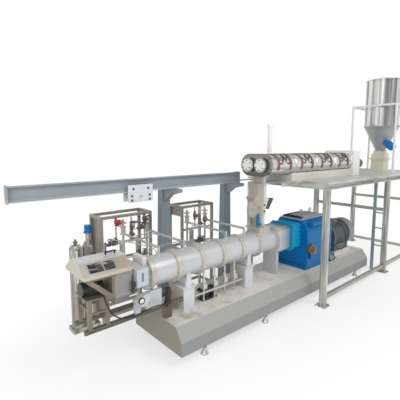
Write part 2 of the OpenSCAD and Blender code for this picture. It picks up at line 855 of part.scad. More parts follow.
// upright cylinder on the near cutter rail
module clamp_cylinder() {
  p = [pedestal_x - 230, -stand_w / 2, rail_top_z];
  place() color([0.09, 0.08, 0.09]) {
    bar_z(p, clamp_h, clamp_r);
    bar_z(p, 20, clamp_r + 8);
    bar_z([p[0], p[1], p[2] + clamp_h - eps], 14, clamp_r * 0.7);
  }
}

// rod at the back of the cutter on which the hood swings
module hinge_pin() {
  place() color([0.4, 0.4, 0.4]) {
    bar_x([hood_x + 60, hinge_y, hinge_z], hood_l - 120, hinge_r);
    for (x = [hood_x + 60, hood_end - 80]) {
      bar_x([x, hinge_y, hinge_z], 20, hinge_r + 5);
      box([x, hinge_y - 10, frame_z - 34], [x + 20, hinge_y + 10, hinge_z]);
      box([x, chamber_w / 2, frame_z - 34], [x + 20, hinge_y + 10, frame_z - 15]);
    }
  }
}

// shaft, hub and flat knives that sweep the die plate
module knife_rotor() {
  x0 = cutter_motor_x + cutter_motor_l + seat;
  place() color([0.7, 0.7, 0.7]) {
    bar_x([x0, 0, axis_z], knife_x - x0, knife_shaft_r);
    bar_x([knife_x - 60, 0, axis_z], 60, 46);
    for (i = [0 : knife_n - 1]) translate([knife_x - 22, 0, axis_z]) rotate([360 / knife_n * i + 25, 0, 0])
      translate([0, -4, 30]) cube([20, 8, knife_r - 30]);
  }
}

// outline of the hood, narrowed by an inset
module hood_outline(d) {
  w = hood_w / 2 - d;
  tw = hood_top_w / 2 - d * 0.5;
  polygon([
    [-w, d > 0 ? -1 : 0], [w, d > 0 ? -1 : 0], [w, hood_lip_h - d * 0.4], [tw, hood_h - d],
    [-tw, hood_h - d], [-w, hood_lip_h - d * 0.4]
  ]);
}

cutter_route = [
  [-800, -102.3, 1075], [-800, -120, 1075], [-799, -140, 1071], [-797, -160, 1060], [-794, -177, 1043],
  [-790, -190, 1020], [-785, -200, 993], [-778, -210, 960], [-767, -222, 920], [-750, -234, 875],
  [-726, -243, 830], [-696, -248, 790], [-658, -250, 757], [-612, -250, 732], [-560, -250, 716],
  [-505, -250, 708], [-450, -249, 706], [-395, -247, 708], [-340, -244, 713], [-285, -240, 718],
  [-230, -236, 721], [-175, -231, 721], [-120, -225, 716], [-70, -218, 705], [-25, -208, 690],
  [12, -200, 670], [36, -189, 653], [53, -177, 644], [58, -167, 642], [58, -157.3, 642]
];
motor_route = [
  [4140, -142.8, 1120], [4140, -165, 1120], [4145, -190, 1120], [4156, -220, 1117], [4170, -250, 1107],
  [4190, -280, 1088], [4214, -304, 1060], [4240, -320, 1024], [4266, -330, 982], [4290, -336, 936],
  [4310, -340, 888], [4324, -342, 838], [4330, -343, 788], [4328, -343, 740], [4316, -343, 696],
  [4294, -342, 658], [4264, -340, 628], [4228, -336, 608], [4188, -331, 599], [4146, -324, 602],
  [4106, -315, 616], [4070, -303, 638], [4038, -288, 664], [4010, -270, 687], [3984, -250, 702],
  [3958, -229, 709], [3936, -210, 711], [3921, -195, 711], [3916, -183, 711], [3916, -170.3, 711]
];
drain_route = [
  [3860, -170.3, 640], [3860, -190, 640], [3864, -212, 635], [3871, -236, 623], [3879, -260, 606],
  [3886, -284, 584], [3890, -307, 560], [3889, -329, 536], [3882, -348, 515], [3868, -364, 499],
  [3848, -376, 490], [3822, -385, 487], [3792, -390, 486.4], [3760, -393, 486.4], [3726, -394, 486.4],
  [3690, -394, 486.4], [3655, -393, 486.4], [3622, -391, 486.4], [3594, -387, 486.4], [3572, -380, 486.4],
  [3556, -376, 486.4], [3552, -371, 486.4], [3552, -363.3, 486.4]
];
slope_dy = hood_w / 2 - hood_top_w / 2;
slope_dz = hood_h - hood_lip_h;
slope_l = sqrt(slope_dy * slope_dy + slope_dz * slope_dz);
slope_a = atan2(slope_dz, slope_dy);

// slanted frame of the operator's slope: X along the hood, Y up the slope
module on_slope() {
  translate([hood_x, -hood_w / 2, hood_z + hood_lip_h]) rotate([slope_a, 0, 0]) children();
}

module cutter_hood() {
  w0 = slope_l * (1 - window_part) / 2;
  place() color([0.74, 0.7, 0.62]) {
    difference() {
      translate([0, 0, hood_z]) along_x(hood_x, hood_l) hood_outline(0);
      translate([0, 0, hood_z]) along_x(hood_x + hood_t, hood_l - 2 * hood_t) hood_outline(hood_t);
      on_slope() translate([80, w0, -60]) cube([window_l, slope_l * window_part, 120]);
    }
    for (x = [hood_x + 90, hood_end - 130]) difference() {
      union() {
        bar_x([x, hinge_y, hinge_z], 40, hinge_r + 7);
        box([x, hood_w / 2 - eps, hinge_z - 8], [x + 40, hinge_y, hinge_z + 8]);
      }
      bar_x([x - 1, hinge_y, hinge_z], 42, hinge_r + hinge_play);
    }
  }
}

// pane set into the opening of the slope
module hood_window() {
  w0 = slope_l * (1 - window_part) / 2;
  place() color([0.2, 0.22, 0.22, 0.5])
    on_slope() translate([80, w0, -6]) cube([window_l, slope_l * window_part, 5]);
}

module hood_handle() {
  z0 = hood_z + hood_h;
  x0 = hood_end - 190;
  place() color([0.06, 0.06, 0.06]) {
    for (x = [x0, x0 + 110]) bar_z([x, 0, z0], 30, 8);
    bar_x([x0 - 12, 0, z0 + 30], 134, 10);
  }
}

// I section with a plate on each end and a tie rod to the platform
module rail_beam() {
  half = rail_w / 2;
  place() color([0.42, 0.47, 0.52]) {
    box([rail_x, rail_y - half, rail_z], [rail_end, rail_y + half, rail_z + rail_flange]);
    box([rail_x, rail_y - half, rail_top - rail_flange], [rail_end, rail_y + half, rail_top]);
    box([rail_x, rail_y - rail_web / 2, rail_z], [rail_end, rail_y + rail_web / 2, rail_top]);
    for (x = [rail_x, rail_end - rail_end_t])
      box([x, rail_y - half - 12, rail_z - 12], [x + rail_end_t, rail_y + half + 12, rail_top + 12]);
    bar_x([rail_end - eps, rail_y, rail_z + 30], deck_left - rail_end, 12);
  }
}

// tapered post with an arm that runs forward under the rail
module rail_post(x) {
  half = post_foot_w / 2;
  along_y(post_y - post_d / 2, post_d) polygon([
    [x - half, 0], [x + half, 0], [x + post_head_w / 2, rail_z], [x - post_head_w / 2, rail_z]
  ]);
  along_x(x - 45, 90) polygon([
    [rail_y - arm_front, rail_z - arm_h * 0.5], [rail_y - arm_front, rail_z], [post_y, rail_z],
    [post_y, rail_z - 2.6 * arm_h], [rail_y, rail_z - arm_h]
  ]);
  box([x - half - 50, post_y - post_d / 2 - 60, 0], [x + half + 50, post_y + post_d / 2, 20]);
}

module rail_posts() {
  place() color([0.5, 0.56, 0.56]) for (i = [0, 1]) rail_post(post_x + post_pitch * i);
}

// two hanging plates with the tubes that hold them apart
module trolley_plates() {
  place() color([0.85, 0.86, 0.87]) {
    for (s = [-1, 1]) difference() {
      box([trolley_x - trolley_l / 2, rail_y + (s < 0 ? -plate_in - trolley_t : plate_in), trolley_z],
          [trolley_x + trolley_l / 2, rail_y + (s < 0 ? -plate_in : plate_in + trolley_t), trolley_z + trolley_h]);
      bar_y([trolley_x, rail_y - 2 * plate_in, rail_z - 60], 4 * plate_in, eye_r);
    }
    for (dx = [-0.36, 0.36]) for (z = [trolley_z + 30, rail_z - 50])
      bar_y([trolley_x + dx * trolley_l, rail_y - plate_in - eps, z], 2 * plate_in + 2 * eps, 13);
  }
}

module trolley_wheels() {
  place() color([0.2, 0.2, 0.21])
    for (dx = [-0.3, 0.3]) for (s = [-1, 1]) {
      y0 = s < 0 ? rail_y - plate_in : rail_y + rail_web / 2 + 6;
      bar_y([trolley_x + dx * trolley_l, y0, wheel_z], plate_in - rail_web / 2 - 6, 12);
      y1 = s < 0 ? rail_y - rail_w / 2 + 2 : rail_y + rail_web / 2 + 8;
      bar_y([trolley_x + dx * trolley_l, y1, wheel_z], rail_w / 2 - rail_web / 2 - 10, wheel_r);
    }
}

module leg_at(x, y) {
  box([x - leg_w / 2, y - leg_w / 2, plate_t - eps], [x + leg_w / 2, y + leg_w / 2, beam_z]);
  difference() {
    box([x - plate_w / 2, y - plate_w / 2, 0], [x + plate_w / 2, y + plate_w / 2, plate_t]);
    for (dx = [-1, 1]) for (dy = [-1, 1])
      bar_z([x + dx * plate_hole / 2, y + dy * plate_hole / 2, -1], plate_t + 2, plate_hole_r);
  }
}

module platform_legs() {
  place() color([0.66, 0.66, 0.6])
    for (x = leg_xs) for (y = [-leg_front, leg_rear]) leg_at(x, y);
}

// channels along the long sides and bars across
module platform_beams() {
  n = 6;
  step = (deck_right - deck_left - beam_w) / n;
  place() color([0.72, 0.72, 0.68]) {
    for (s = [-1, 1]) {
      y = s < 0 ? -leg_front : leg_rear;
      difference() {
        box([deck_left, y - leg_w / 2, beam_z], [deck_right, y + leg_w / 2, beam_z + beam_h]);
        box([deck_left - 1, s < 0 ? y - leg_w / 2 - 1 : y - leg_w / 2 + 12, beam_z + 12],
            [deck_right + 1, s < 0 ? y + leg_w / 2 - 12 : y + leg_w / 2 + 1, beam_z + beam_h - 12]);
      }
    }
    for (i = [0 : n])
      box([deck_left + step * i, -leg_front + leg_w / 2 + seat, beam_z],
          [deck_left + step * i + beam_w, leg_rear - leg_w / 2 + 12 - seat - 12, beam_z + beam_h]);
  }
}

// deck plate with a tongue under the overhanging conditioner
module platform_deck() {
  place() color([0.72, 0.72, 0.7]) {
    box([deck_left, -leg_front - leg_w / 2, deck_z - deck_t], [deck_right, leg_rear + leg_w / 2, deck_z]);
    box([tongue_x, -tongue_w / 2, deck_z - deck_t], [deck_left + 1, tongue_w / 2, deck_z]);
    for (s = [-1, 1])
      box([tongue_x, s * tongue_w / 2 - (s > 0 ? 12 : 0), deck_z - 70],
          [deck_left, s * tongue_w / 2 + (s > 0 ? 0 : 12), deck_z]);
  }
}

// rails between the legs near the floor and at half height
module platform_rails() {
  half = lower_w / 2;
  gap = leg_w / 2;
  place() color([0.6, 0.61, 0.56]) {
    for (i = [0, 1])
      box([leg_xs[i] + gap, -leg_front - half, lower_z],
          [leg_xs[i + 1] - gap, -leg_front + half, lower_z + lower_w]);
    box([leg_end - half, -leg_front + gap, lower_z], [leg_end + half, leg_rear - gap, lower_z + lower_w]);
    for (x = [leg_mid, leg_end])
      box([x - half, -leg_front + gap, middle_z], [x + half, leg_rear - gap, middle_z + lower_w]);
  }
}

// four posts with a pipe ring on top
module hopper_guard() {
  d = guard_r + seat;
  place() color([0.86, 0.86, 0.85]) {
    for (sx = [-1, 1]) for (sy = [-1, 1]) {
      bar_z([hopper_x + sx * guard_in, sy * guard_in, deck_z], guard_h, guard_r);
      bar_z([hopper_x + sx * guard_in, sy * guard_in, deck_z], 10, 2 * guard_r);
      bar_z([hopper_x + sx * guard_in, sy * guard_in, guard_z - guard_r], 2 * guard_r, guard_r);
    }
    for (s = [-1, 1]) {
      bar_x([hopper_x - guard_in + d, s * guard_in, guard_z], 2 * guard_in - 2 * d, guard_r);
      bar_y([hopper_x + s * guard_in, -guard_in + d, guard_z], 2 * guard_in - 2 * d, guard_r);
    }
  }
}

// outline of two overlapping circles and what lies between
module obround(r) {
  for (s = [-1, 1]) translate([s * cond_pitch / 2, cond_z]) circle(r = r);
  translate([-cond_pitch / 2, cond_z - r]) square([cond_pitch, 2 * r]);
}

// shell with its end plate and the ring flanges between the door bays
module conditioner_shell() {
  place() color([0.78, 0.78, 0.77]) {
    along_x(cond_x, cond_l) obround(cond_r);
    along_x(cond_x, 2 * cond_flange) obround(cond_r + cond_lip);
    along_x(cond_end - cond_flange, cond_flange) obround(cond_r + cond_lip);
    for (i = [1 : door_n - 1])
      along_x(cond_x + 2 * cond_flange + door_step * i - cond_flange / 2, cond_flange) obround(cond_r + cond_lip);
  }
}

// stepped bearing hubs with round caps, two on the end plate
module conditioner_bearings() {
  place() color([0.85, 0.85, 0.84]) for (s = [-1, 1]) {
    bar_x([cond_x - 46, s * cond_pitch / 2, cond_z], 46, hub_r);
    bar_x([cond_x - 70, s * cond_pitch / 2, cond_z], 25, cap_r);
    bar_x([cond_x - 84, s * cond_pitch / 2, cond_z], 15, cap_r * 0.6);
  }
}

// pairs of bands that hold the doors along the shell
module conditioner_straps() {
  place() color([0.42, 0.3, 0.28]) for (i = [0 : door_n - 1]) for (f = [0.25, 0.75])
    along_x(cond_x + 2 * cond_flange + door_step * (i + f) - strap_w / 2, strap_w) difference() {
      obround(cond_r + seat + strap_t);
      obround(cond_r + seat);
      translate([-skid_w, cond_z - 2.5 * cond_r]) square([2 * skid_w, 2 * cond_r]);
    }
}

// long base that cradles the conditioner on the deck
module conditioner_base() {
  place() color([0.74, 0.72, 0.64]) difference() {
    box([base_x, -cond_half * 0.8, deck_z], [cond_end, cond_half * 0.8, deck_z + base_h]);
    along_x(base_x - 1, cond_end - base_x + 2) obround(cond_r + cond_lip + seat);
  }
}

module conditioner_casing() {
  w = cond_half + 20;
  place() color([0.84, 0.82, 0.76])
    box([cond_end, -w, deck_z], [cond_end + casing_l, w, deck_z + casing_h]);
}

// gear unit and motor behind the casing
module conditioner_motor() {
  x0 = cond_end + casing_l;
  z0 = cond_z - 60;
  place() color([0.55, 0.57, 0.58]) {
    box([x0, -130, z0 - 130], [x0 + 200, 130, z0 + 130]);
    bar_x([x0 + 200 - eps, 0, z0], 40, cond_motor_r + 18);
    bar_x([x0 + 230, 0, z0], 340, cond_motor_r);
    bar_x([x0 + 560, 0, z0], 60, cond_motor_r - 8);
    box([x0 + 20, -110, deck_z], [x0 + 180, 110, z0]);
    box([x0 + 290, -70, z0 + cond_motor_r - 20], [x0 + 400, 70, z0 + cond_motor_r + 60]);
  }
}

module vent_pipe() {
  z0 = cond_z + cond_r;
  place() color([0.8, 0.77, 0.68]) {
    bar_z([vent_x, 0, z0], vent_h, vent_r);
    bar_z([vent_x, 0, z0], 16, vent_r * 1.7);
    bar_z([vent_x, 0, z0 + vent_h - 40], 40, vent_r * 1.3);
  }
}

// flat sided chute that drops the meal from the conditioner to the barrel
module drop_chute() {
  zb = bypass_z;
  half = drop_w / 2;
  place() color([0.66, 0.64, 0.57]) difference() {
    union() {
      along_y(-half, drop_w) polygon([
        [drop_x0, deck_z - 20], [drop_x1, deck_z - 20], [drop_x1, zb + flare_h - 10],
        [drop_x1 + flare_l * 0.8, zb + flare_h - 38], [drop_x1 - 15, zb + flare_h * 0.3], [drop_x1, zb],
        [drop_x0 + 40, zb + 20], [drop_x0 + 5, zb + flare_h * 0.4], [drop_x0 - flare_l, zb + flare_h],
        [drop_x0 - flare_l * 0.3, zb + flare_h + 12], [drop_x0 - 5, zb + flare_h + 45]
      ]);
      box([inlet_x - neck_l / 2, -half + 20, inlet_z], [inlet_x + neck_l / 2, half - 20, zb + 40]);
      box([inlet_x - neck_l / 2 - 30, -half - 10, inlet_z], [inlet_x + neck_l / 2 + 30, half + 10, inlet_z + 14]);
      box([drop_x0 - 20, -half - 22, deck_z - 34], [drop_x1 + 20, half + 22, deck_z - 10]);
      box([cond_x + 2 * cond_flange + 10, -half, deck_z - 12], [drop_x1 - 20, half, cond_z - cond_r * 0.7]);
    }
    along_x(drop_x0 - 100, drop_l + 200) obround(cond_r + seat);
  }
}

// slanted outlet on the drive side of the chute
module bypass_branch() {
  zb = bypass_z;
  a = [drop_x1 + flare_l * 0.8 + 2 * seat, zb + flare_h - 38];
  b = [drop_x1 - 15 + 2 * seat, zb + flare_h * 0.3];
  place() color([0.24, 0.34, 0.35]) along_y(-drop_w / 2 + 12, drop_w - 24) polygon([
    a, [a[0] + branch_l, a[1] - 17], [b[0] + branch_l * 0.75, b[1] - 15], b
  ]);
}

// ribbed fan shaped flap housing on the operator's face of the chute
module bypass_fan() {
  hub = [drop_x0 + 18, bypass_z + flare_h * 0.43];
  y0 = -drop_w / 2 - fan_t;
  place() color([0.62, 0.6, 0.52]) {
    along_y(y0, fan_t) intersection() {
      translate(hub) circle(r = fan_r);
      translate(hub) polygon([
        [30, 24], [-fan_r * 0.55, fan_r * 0.52], [-fan_r, fan_r * 0.4], [-fan_r, -fan_r * 0.35],
        [-fan_r * 0.52, -fan_r * 0.47], [30, -24]
      ]);
    }
    for (a = [148, 180, 213]) translate([hub[0], y0, hub[1]]) rotate([0, -a, 0])
      translate([0, -9, -5]) cube([fan_r * 0.9, 10, 10]);
    bar_y([hub[0], y0 - 18, hub[1]], 19, 26);
  }
}

// air cylinder that works the flap
module bypass_cylinder() {
  zb = bypass_z;
  x = drop_x0 - 5;
  y = -drop_w / 2 - 14;
  place() color([0.12, 0.4, 0.68]) {
    bar_z([x, y, zb - 160], 150, 27);
    bar_z([x, y, zb - 11], 60, 9);
    box([x - 12, y - 12, zb + 40], [x + 12, y + 12, zb + 60]);
    box([x, y - 14, zb - 150], [inlet_x - neck_l / 2, y + 42, zb - 120]);
  }
}

module hopper_bin() {
  place() color([0.8, 0.81, 0.82]) difference() {
    union() {
      bar_z([hopper_x, 0, bin_z], bin_h, bin_r);
      bar_z([hopper_x, 0, bin_z], 30, bin_r + 12);
      bar_z([hopper_x, 0, bin_top - 24], 24, bin_r + 12);
    }
    bar_z([hopper_x, 0, bin_z - 1], bin_h + 2, bin_r - bin_t);
  }
}

// flat lid with a round inlet collar
module hopper_lid() {
  place() color([0.76, 0.77, 0.78]) difference() {
    union() {
      bar_z([hopper_x, 0, bin_top], 12, bin_r + 12);
      bar_z([hopper_x, 0, bin_top], inlet_h, inlet_r + 8);
    }
    bar_z([hopper_x, 0, bin_top - 1], inlet_h + 2, inlet_r);
  }
}

module hopper_cone() {
  k = bin_t;
  place() color([0.45, 0.49, 0.47]) translate([hopper_x, 0, feeder_top]) rotate_extrude(convexity = 4) polygon([
    [cone_out, 0], [cone_out + 40, 0], [cone_out + 40, 14], [cone_out + k, 14], [cone_out + k, 40],
    [bin_r, cone_h - 20], [bin_r + 12, cone_h - 20], [bin_r + 12, cone_h], [bin_r - k, cone_h], [cone_out, 40]
  ]);
}

// agitator motor on the operator's side of the cone
module agitator_motor() {
  a = atan2(cone_h - 60, bin_r - cone_out - bin_t);
  r0 = (bin_r + cone_out) / 2 + 20;
  z0 = feeder_top + cone_h / 2 + 8;
  place() color([0.1, 0.4, 0.72]) difference() {
    translate([hopper_x, 0, z0]) rotate([0, 0, 235]) rotate([0, 90 + (90 - a), 0]) {
      translate([0, 0, r0 - 90]) cylinder(h = 150, r = 75);
      translate([0, 0, r0 + 50]) cylinder(h = 150, r = 92);
      translate([0, 0, r0 + 190]) cylinder(h = 50, r = 84);
    }
    translate([hopper_x, 0, feeder_top]) rotate_extrude() polygon([
      [0, 0], [cone_out + bin_t + seat, 0], [cone_out + bin_t + seat, 40],
      [bin_r + seat, cone_h - 20], [0, cone_h - 20]
    ]);
  }
}

// feeder box with its flange and round throat
module screw_feeder() {
  half = feeder_w / 2;
  place() color([0.82, 0.78, 0.68]) {
    box([hopper_x - half, -half, deck_z], [hopper_x + half, half, feeder_top - 60]);
    box([hopper_x - half - 40, -half - 40, feeder_top - 200], [hopper_x + half + 40, half + 40, feeder_top - 170]);
    bar_z([hopper_x, 0, feeder_top - 61], 61, cone_out + 40);
  }
}

module rack(x, l) {
  b = rack_bar;
  g = b + seat;
  for (px = [x, x + l - b]) for (py = [rack_y, rack_back - b]) box([px, py, 0], [px + b, py + b, rack_h]);
  for (z = rack_levels) {
    for (py = [rack_y, rack_back - b]) box([x + g, py, z], [x + l - g, py + b, z + b]);
    for (px = [x, x + l - b]) box([px, rack_y + g, z], [px + b, rack_back - g, z + b]);
  }
}

// both frames, with a side panel on the left one and a small plate on the right one
module rack_frames() {
  g = rack_bar + seat;
  place() color([0.72, 0.72, 0.68]) {
    rack(rack_x, rack_l);
    rack(rack2_x, rack2_l);
    box([rack_x + g, rack_y + g, rack_levels[0]], [rack_x + g + 4, rack_back - g, rack_h - 8]);
    box([rack2_x + g, rack_y + g, rack_h - 190], [rack2_x + g + 4, rack_back - g, rack_h - 8]);
  }
}

// two standing tanks on a low base beside the left rack
module rack_tanks() {
  y = rack_y + rack_d / 2;
  x2 = rack_x - tank_r - 25;
  x1 = x2 - 2 * tank_r - 15;
  place() color([0.7, 0.7, 0.63]) {
    box([x1 - tank_r - 15, y - tank_r - 15, 0], [rack_x - seat, y + tank_r + 15, 60]);
    for (x = [x1, x2]) translate([x, y, 60 - eps]) rotate_extrude() polygon([
      [0, 0], [tank_r, 0], [tank_r, tank_h - 40], [tank_r * 0.7, tank_h], [0, tank_h]
    ]);
    bar_x([x2, y, rack_levels[0] + rack_bar / 2], rack_x - seat - x2, pipe_r);
    bar_z([x2, y, 50 + tank_h], 160, tank_r * 0.4);
    bar_z([x2, y, 60 + tank_h], 20, tank_r * 0.7);
  }
}

// motor on top of the inner tank
module dosing_motor() {
  y = rack_y + rack_d / 2;
  x2 = rack_x - tank_r - 25;
  place() color([0.12, 0.4, 0.7]) {
    bar_z([x2, y, 210 + tank_h], 110, tank_r * 0.55);
    bar_z([x2, y, 210 + tank_h], 16, tank_r * 0.7);
  }
}

// a globe valve on an upright pipe, with a handwheel
module valve(x, y, z) {
  bar_z([x, y, z - 60], 120, pipe_r * 2);
  for (dz = [-60, 48]) bar_z([x, y, z + dz], 12, pipe_r * 2.7);
  bar_z([x, y, z + 60], 50, 9);
  translate([x, y, z + 110]) rotate_extrude() translate([handwheel_r - 7, 0]) circle(r = 7, $fn = 16);
  for (a = [0, 90]) translate([x, y, z + 104]) rotate(a)
    translate([-handwheel_r + 7, -4, 0]) cube([2 * handwheel_r - 14, 8, 10]);
}

// upright on a rack with its valve, and the line forward to a barrel port
module rack_line(x) {
  y = rack_y - pipe_r - seat;
  z = axis_z + jacket_r + 90;
  bar_z([x, y, rack_h * 0.52], rack_h * 0.44, pipe_r);
  valve(x, y, rack_h * 0.86);
  bar_y([x, 0, z], y, pipe_r);
  bar_z([x, 0, axis_z + jacket_r + 22 + seat], 90 - 22 + pipe_r, pipe_r);
}

// loop of pipe in the middle of a rack, with a pump body at its foot
module rack_loop(x, l) {
  y = rack_y + rack_d / 2;
  z0 = rack_levels[0] + rack_bar;
  z1 = rack_h * 0.74;
  r = pipe_r * 0.8;
  for (px = [x + 150, x + l - 170]) bar_z([px, y, z0 + seat], z1 - z0, pipe_r);
  bar_x([x + 150, y, z1 - 2 * pipe_r], l - 320, r);
  bar_x([x + 150, y, rack_h * 0.4], l - 320, r);
  bar_y([x + 150, rack_y - pipe_r - seat, rack_h * 0.6], rack_d / 2 + pipe_r + seat, r);
  bar_z([x + l / 2, y, rack_h * 0.4], z1 - rack_h * 0.4 - 4 * pipe_r, pipe_r * 2.6);
  bar_x([x + l / 2 - 70, y, rack_h * 0.4], 140, pipe_r * 3);
}

// the lines of both racks; the drive end of each has a cross pipe on the front posts
module rack_piping() {
  y = rack_y - pipe_r - seat;
  place() color([0.76, 0.76, 0.73]) {
    for (i = [0, 1, 3, 4]) rack_line(at_section(i) + section_l / 2);
    for (r = [[rack_x, rack_l], [rack2_x, rack2_l]]) {
      for (f = [0.6, 0.75]) bar_x([r[0] + 30, y, rack_h * f], r[1] - 60, pipe_r * 0.9);
      rack_loop(r[0], r[1]);
    }
  }
}

// a cable as a ten sided tube through the points of its route
module cable(route) {
  n = 10;
  m = len(route);
  rings = [for (i = [0 : m - 1])
    let (t = route[min(i + 1, m - 1)] - route[max(i - 1, 0)], u = cross(t, [0.13, 0.09, 1]), v = cross(t, u))
    [for (k = [0 : n - 1])
      route[i] + cable_r * (cos(360 / n * k) * u / norm(u) + sin(360 / n * k) * v / norm(v))]];
  sides = [for (i = [0 : m - 2]) for (k = [0 : n - 1])
    [i * n + k, i * n + (k + 1) % n, (i + 1) * n + (k + 1) % n, (i + 1) * n + k]];
  ends = [[for (k = [n - 1 : -1 : 0]) k], [for (k = [0 : n - 1]) (m - 1) * n + k]];
  polyhedron(points = [for (ring = rings) for (q = ring) q], faces = concat(sides, ends));
}

// cable that hangs from the cutter motor's box to the near cutter rail
module cutter_cable() {
  place() color([0.04, 0.04, 0.05]) cable(cutter_route);
}

// cable that loops down beside the drive motor
module motor_cable() {
  place() color([0.04, 0.04, 0.05]) cable(motor_route);
}

// cable from the coupling guard that lies along the gearbox's foot
module drain_cable() {
  place() color([0.04, 0.04, 0.05]) cable(drain_route);
}

skid_base();
levelling_feet();
pedestals();
barrel_saddles();
barrel_sections();
die_head();
die_side_box();
lantern_housing();
thrust_housing();
gearbox_case();
gearbox_cover();
oil_pump();
lube_motor();
coupling_guard();
drive_motor();
motor_fan_cowl();
jacket_manifold();
cutter_rails();
cutter_stand();
knife_chamber();
discharge_funnel();
cutter_motor();
clamp_cylinder();
hinge_pin();
knife_rotor();
cutter_hood();
hood_window();
hood_handle();
rail_beam();
rail_posts();
trolley_plates();
trolley_wheels();
platform_legs();
platform_beams();
platform_deck();
platform_rails();
hopper_guard();
conditioner_shell();
conditioner_bearings();
conditioner_straps();
conditioner_base();
conditioner_casing();
conditioner_motor();
vent_pipe();
drop_chute();
bypass_branch();
bypass_fan();
bypass_cylinder();
hopper_bin();
hopper_lid();
hopper_cone();
agitator_motor();
screw_feeder();
rack_frames();
rack_tanks();
dosing_motor();
rack_piping();
cutter_cable();
motor_cable();
drain_cable();
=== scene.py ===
import math
import bpy
import numpy as np
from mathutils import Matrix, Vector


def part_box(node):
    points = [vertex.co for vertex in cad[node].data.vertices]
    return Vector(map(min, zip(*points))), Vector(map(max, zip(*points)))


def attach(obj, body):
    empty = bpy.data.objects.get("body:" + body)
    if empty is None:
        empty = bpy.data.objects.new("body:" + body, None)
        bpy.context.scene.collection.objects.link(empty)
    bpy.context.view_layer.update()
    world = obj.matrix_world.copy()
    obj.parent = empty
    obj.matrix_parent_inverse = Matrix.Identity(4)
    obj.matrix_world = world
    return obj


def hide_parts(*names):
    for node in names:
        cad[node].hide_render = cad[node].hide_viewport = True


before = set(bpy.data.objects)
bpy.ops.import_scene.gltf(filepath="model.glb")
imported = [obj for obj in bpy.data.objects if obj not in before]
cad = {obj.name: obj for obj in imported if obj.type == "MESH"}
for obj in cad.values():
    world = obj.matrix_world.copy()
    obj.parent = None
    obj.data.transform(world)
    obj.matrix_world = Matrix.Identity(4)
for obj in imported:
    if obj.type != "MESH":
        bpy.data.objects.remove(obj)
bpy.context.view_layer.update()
print("frame:", len(cad), "nodes")

# drawing millimetres (x from the skid's end, y from the barrel axis, z from the floor) to the row frame
skidLow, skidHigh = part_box("skid_base")
zero = np.array([skidLow[0], (skidLow[1] + skidHigh[1]) / 2, 0.0])


def at(x, y, z):
    return zero + np.array([x, y, z]) / 1000


# places that several pieces share, and the three directions
barrelZ = 1075
shellX, shellZ = 1900, 2335
hopperX = 6620
toX, toY, toZ = np.eye(3)

# camera at the photo's place: turned from +X towards +Y, then tipped down; its frame slides down a little
shot = dict(place=(-2282, -3515, 2589), heading=49.33, pitch=-6.5, lens=30.6, sensor=36, shift=-0.0308,
            reach=200)
camera = bpy.data.objects.new("shot", bpy.data.cameras.new("shot"))
camera.location = at(*shot["place"])
camera.rotation_euler = (math.radians(90 + shot["pitch"]), 0, math.radians(shot["heading"] - 90))
camera.data.lens = shot["lens"]
camera.data.sensor_width = shot["sensor"]
camera.data.shift_y = shot["shift"]
camera.data.clip_end = shot["reach"]
bpy.context.scene.collection.objects.link(camera)
bpy.context.scene.camera = camera
print("camera: lens", shot["lens"])


# screen colour to the linear colour that sockets take
def rgb(r, g, b):
    c = np.array([r, g, b]) / 255
    return (*np.where(c < 0.04045, c / 12.92, ((c + 0.055) / 1.055) ** 2.4), 1.0)


# a shader node with its settings; an input takes a number, a colour or another node's output
def put(tree, kind, inputs=(), **settings):
    made = tree.nodes.new(kind)
    for key, value in settings.items():
        setattr(made, key, value)
    for key, value in dict(inputs).items():
        if isinstance(value, bpy.types.NodeSocket):
            tree.links.new(value, made.inputs[key])
        else:
            made.inputs[key].default_value = value
    return made


def ramp(tree, value, low, high, lowOut=0.0, highOut=1.0):
    return put(tree, "ShaderNodeMapRange", {
        "Value": value, "From Min": low, "From Max": high, "To Min": lowOut, "To Max": highOut}).outputs[0]


def blend(tree, factor, a, b, how="MIX"):
    return put(tree, "ShaderNodeMix", {0: factor, 6: a, 7: b}, data_type="RGBA", blend_type=how).outputs[2]


def times(tree, a, b):
    return put(tree, "ShaderNodeMath", {0: a, 1: b}, operation="MULTIPLY").outputs[0]


# noise with its own scale on each axis
def noise(tree, place, scale, detail=2.0, rough=0.5):
    run = put(tree, "ShaderNodeMapping", {"Vector": place, "Scale": scale}).outputs[0]
    return put(tree, "ShaderNodeTexNoise", {
        "Vector": run, "Scale": 1.0, "Detail": detail, "Roughness": rough}).outputs[0]


def coordinate(tree, place, axis):
    return put(tree, "ShaderNodeSeparateXYZ", {0: place}).outputs[axis]


# ramp along one axis between two drawing places
def reach(tree, place, axis, low, high, lowOut=0.0, highOut=1.0):
    a, b = zero[axis] + low / 1000, zero[axis] + high / 1000
    return ramp(tree, coordinate(tree, place, axis), a, b, lowOut, highOut)


# how far a face looks along one axis
def facing(tree, axis):
    return coordinate(tree, put(tree, "ShaderNodeNewGeometry").outputs["Normal"], axis)


# the way from a point, with each axis weighed
def away(tree, place, point, weight):
    off = put(tree, "ShaderNodeVectorMath", {0: place, 1: tuple(point)}, operation="SUBTRACT").outputs[0]
    return put(tree, "ShaderNodeVectorMath", {0: off, 1: weight}, operation="MULTIPLY").outputs[0]


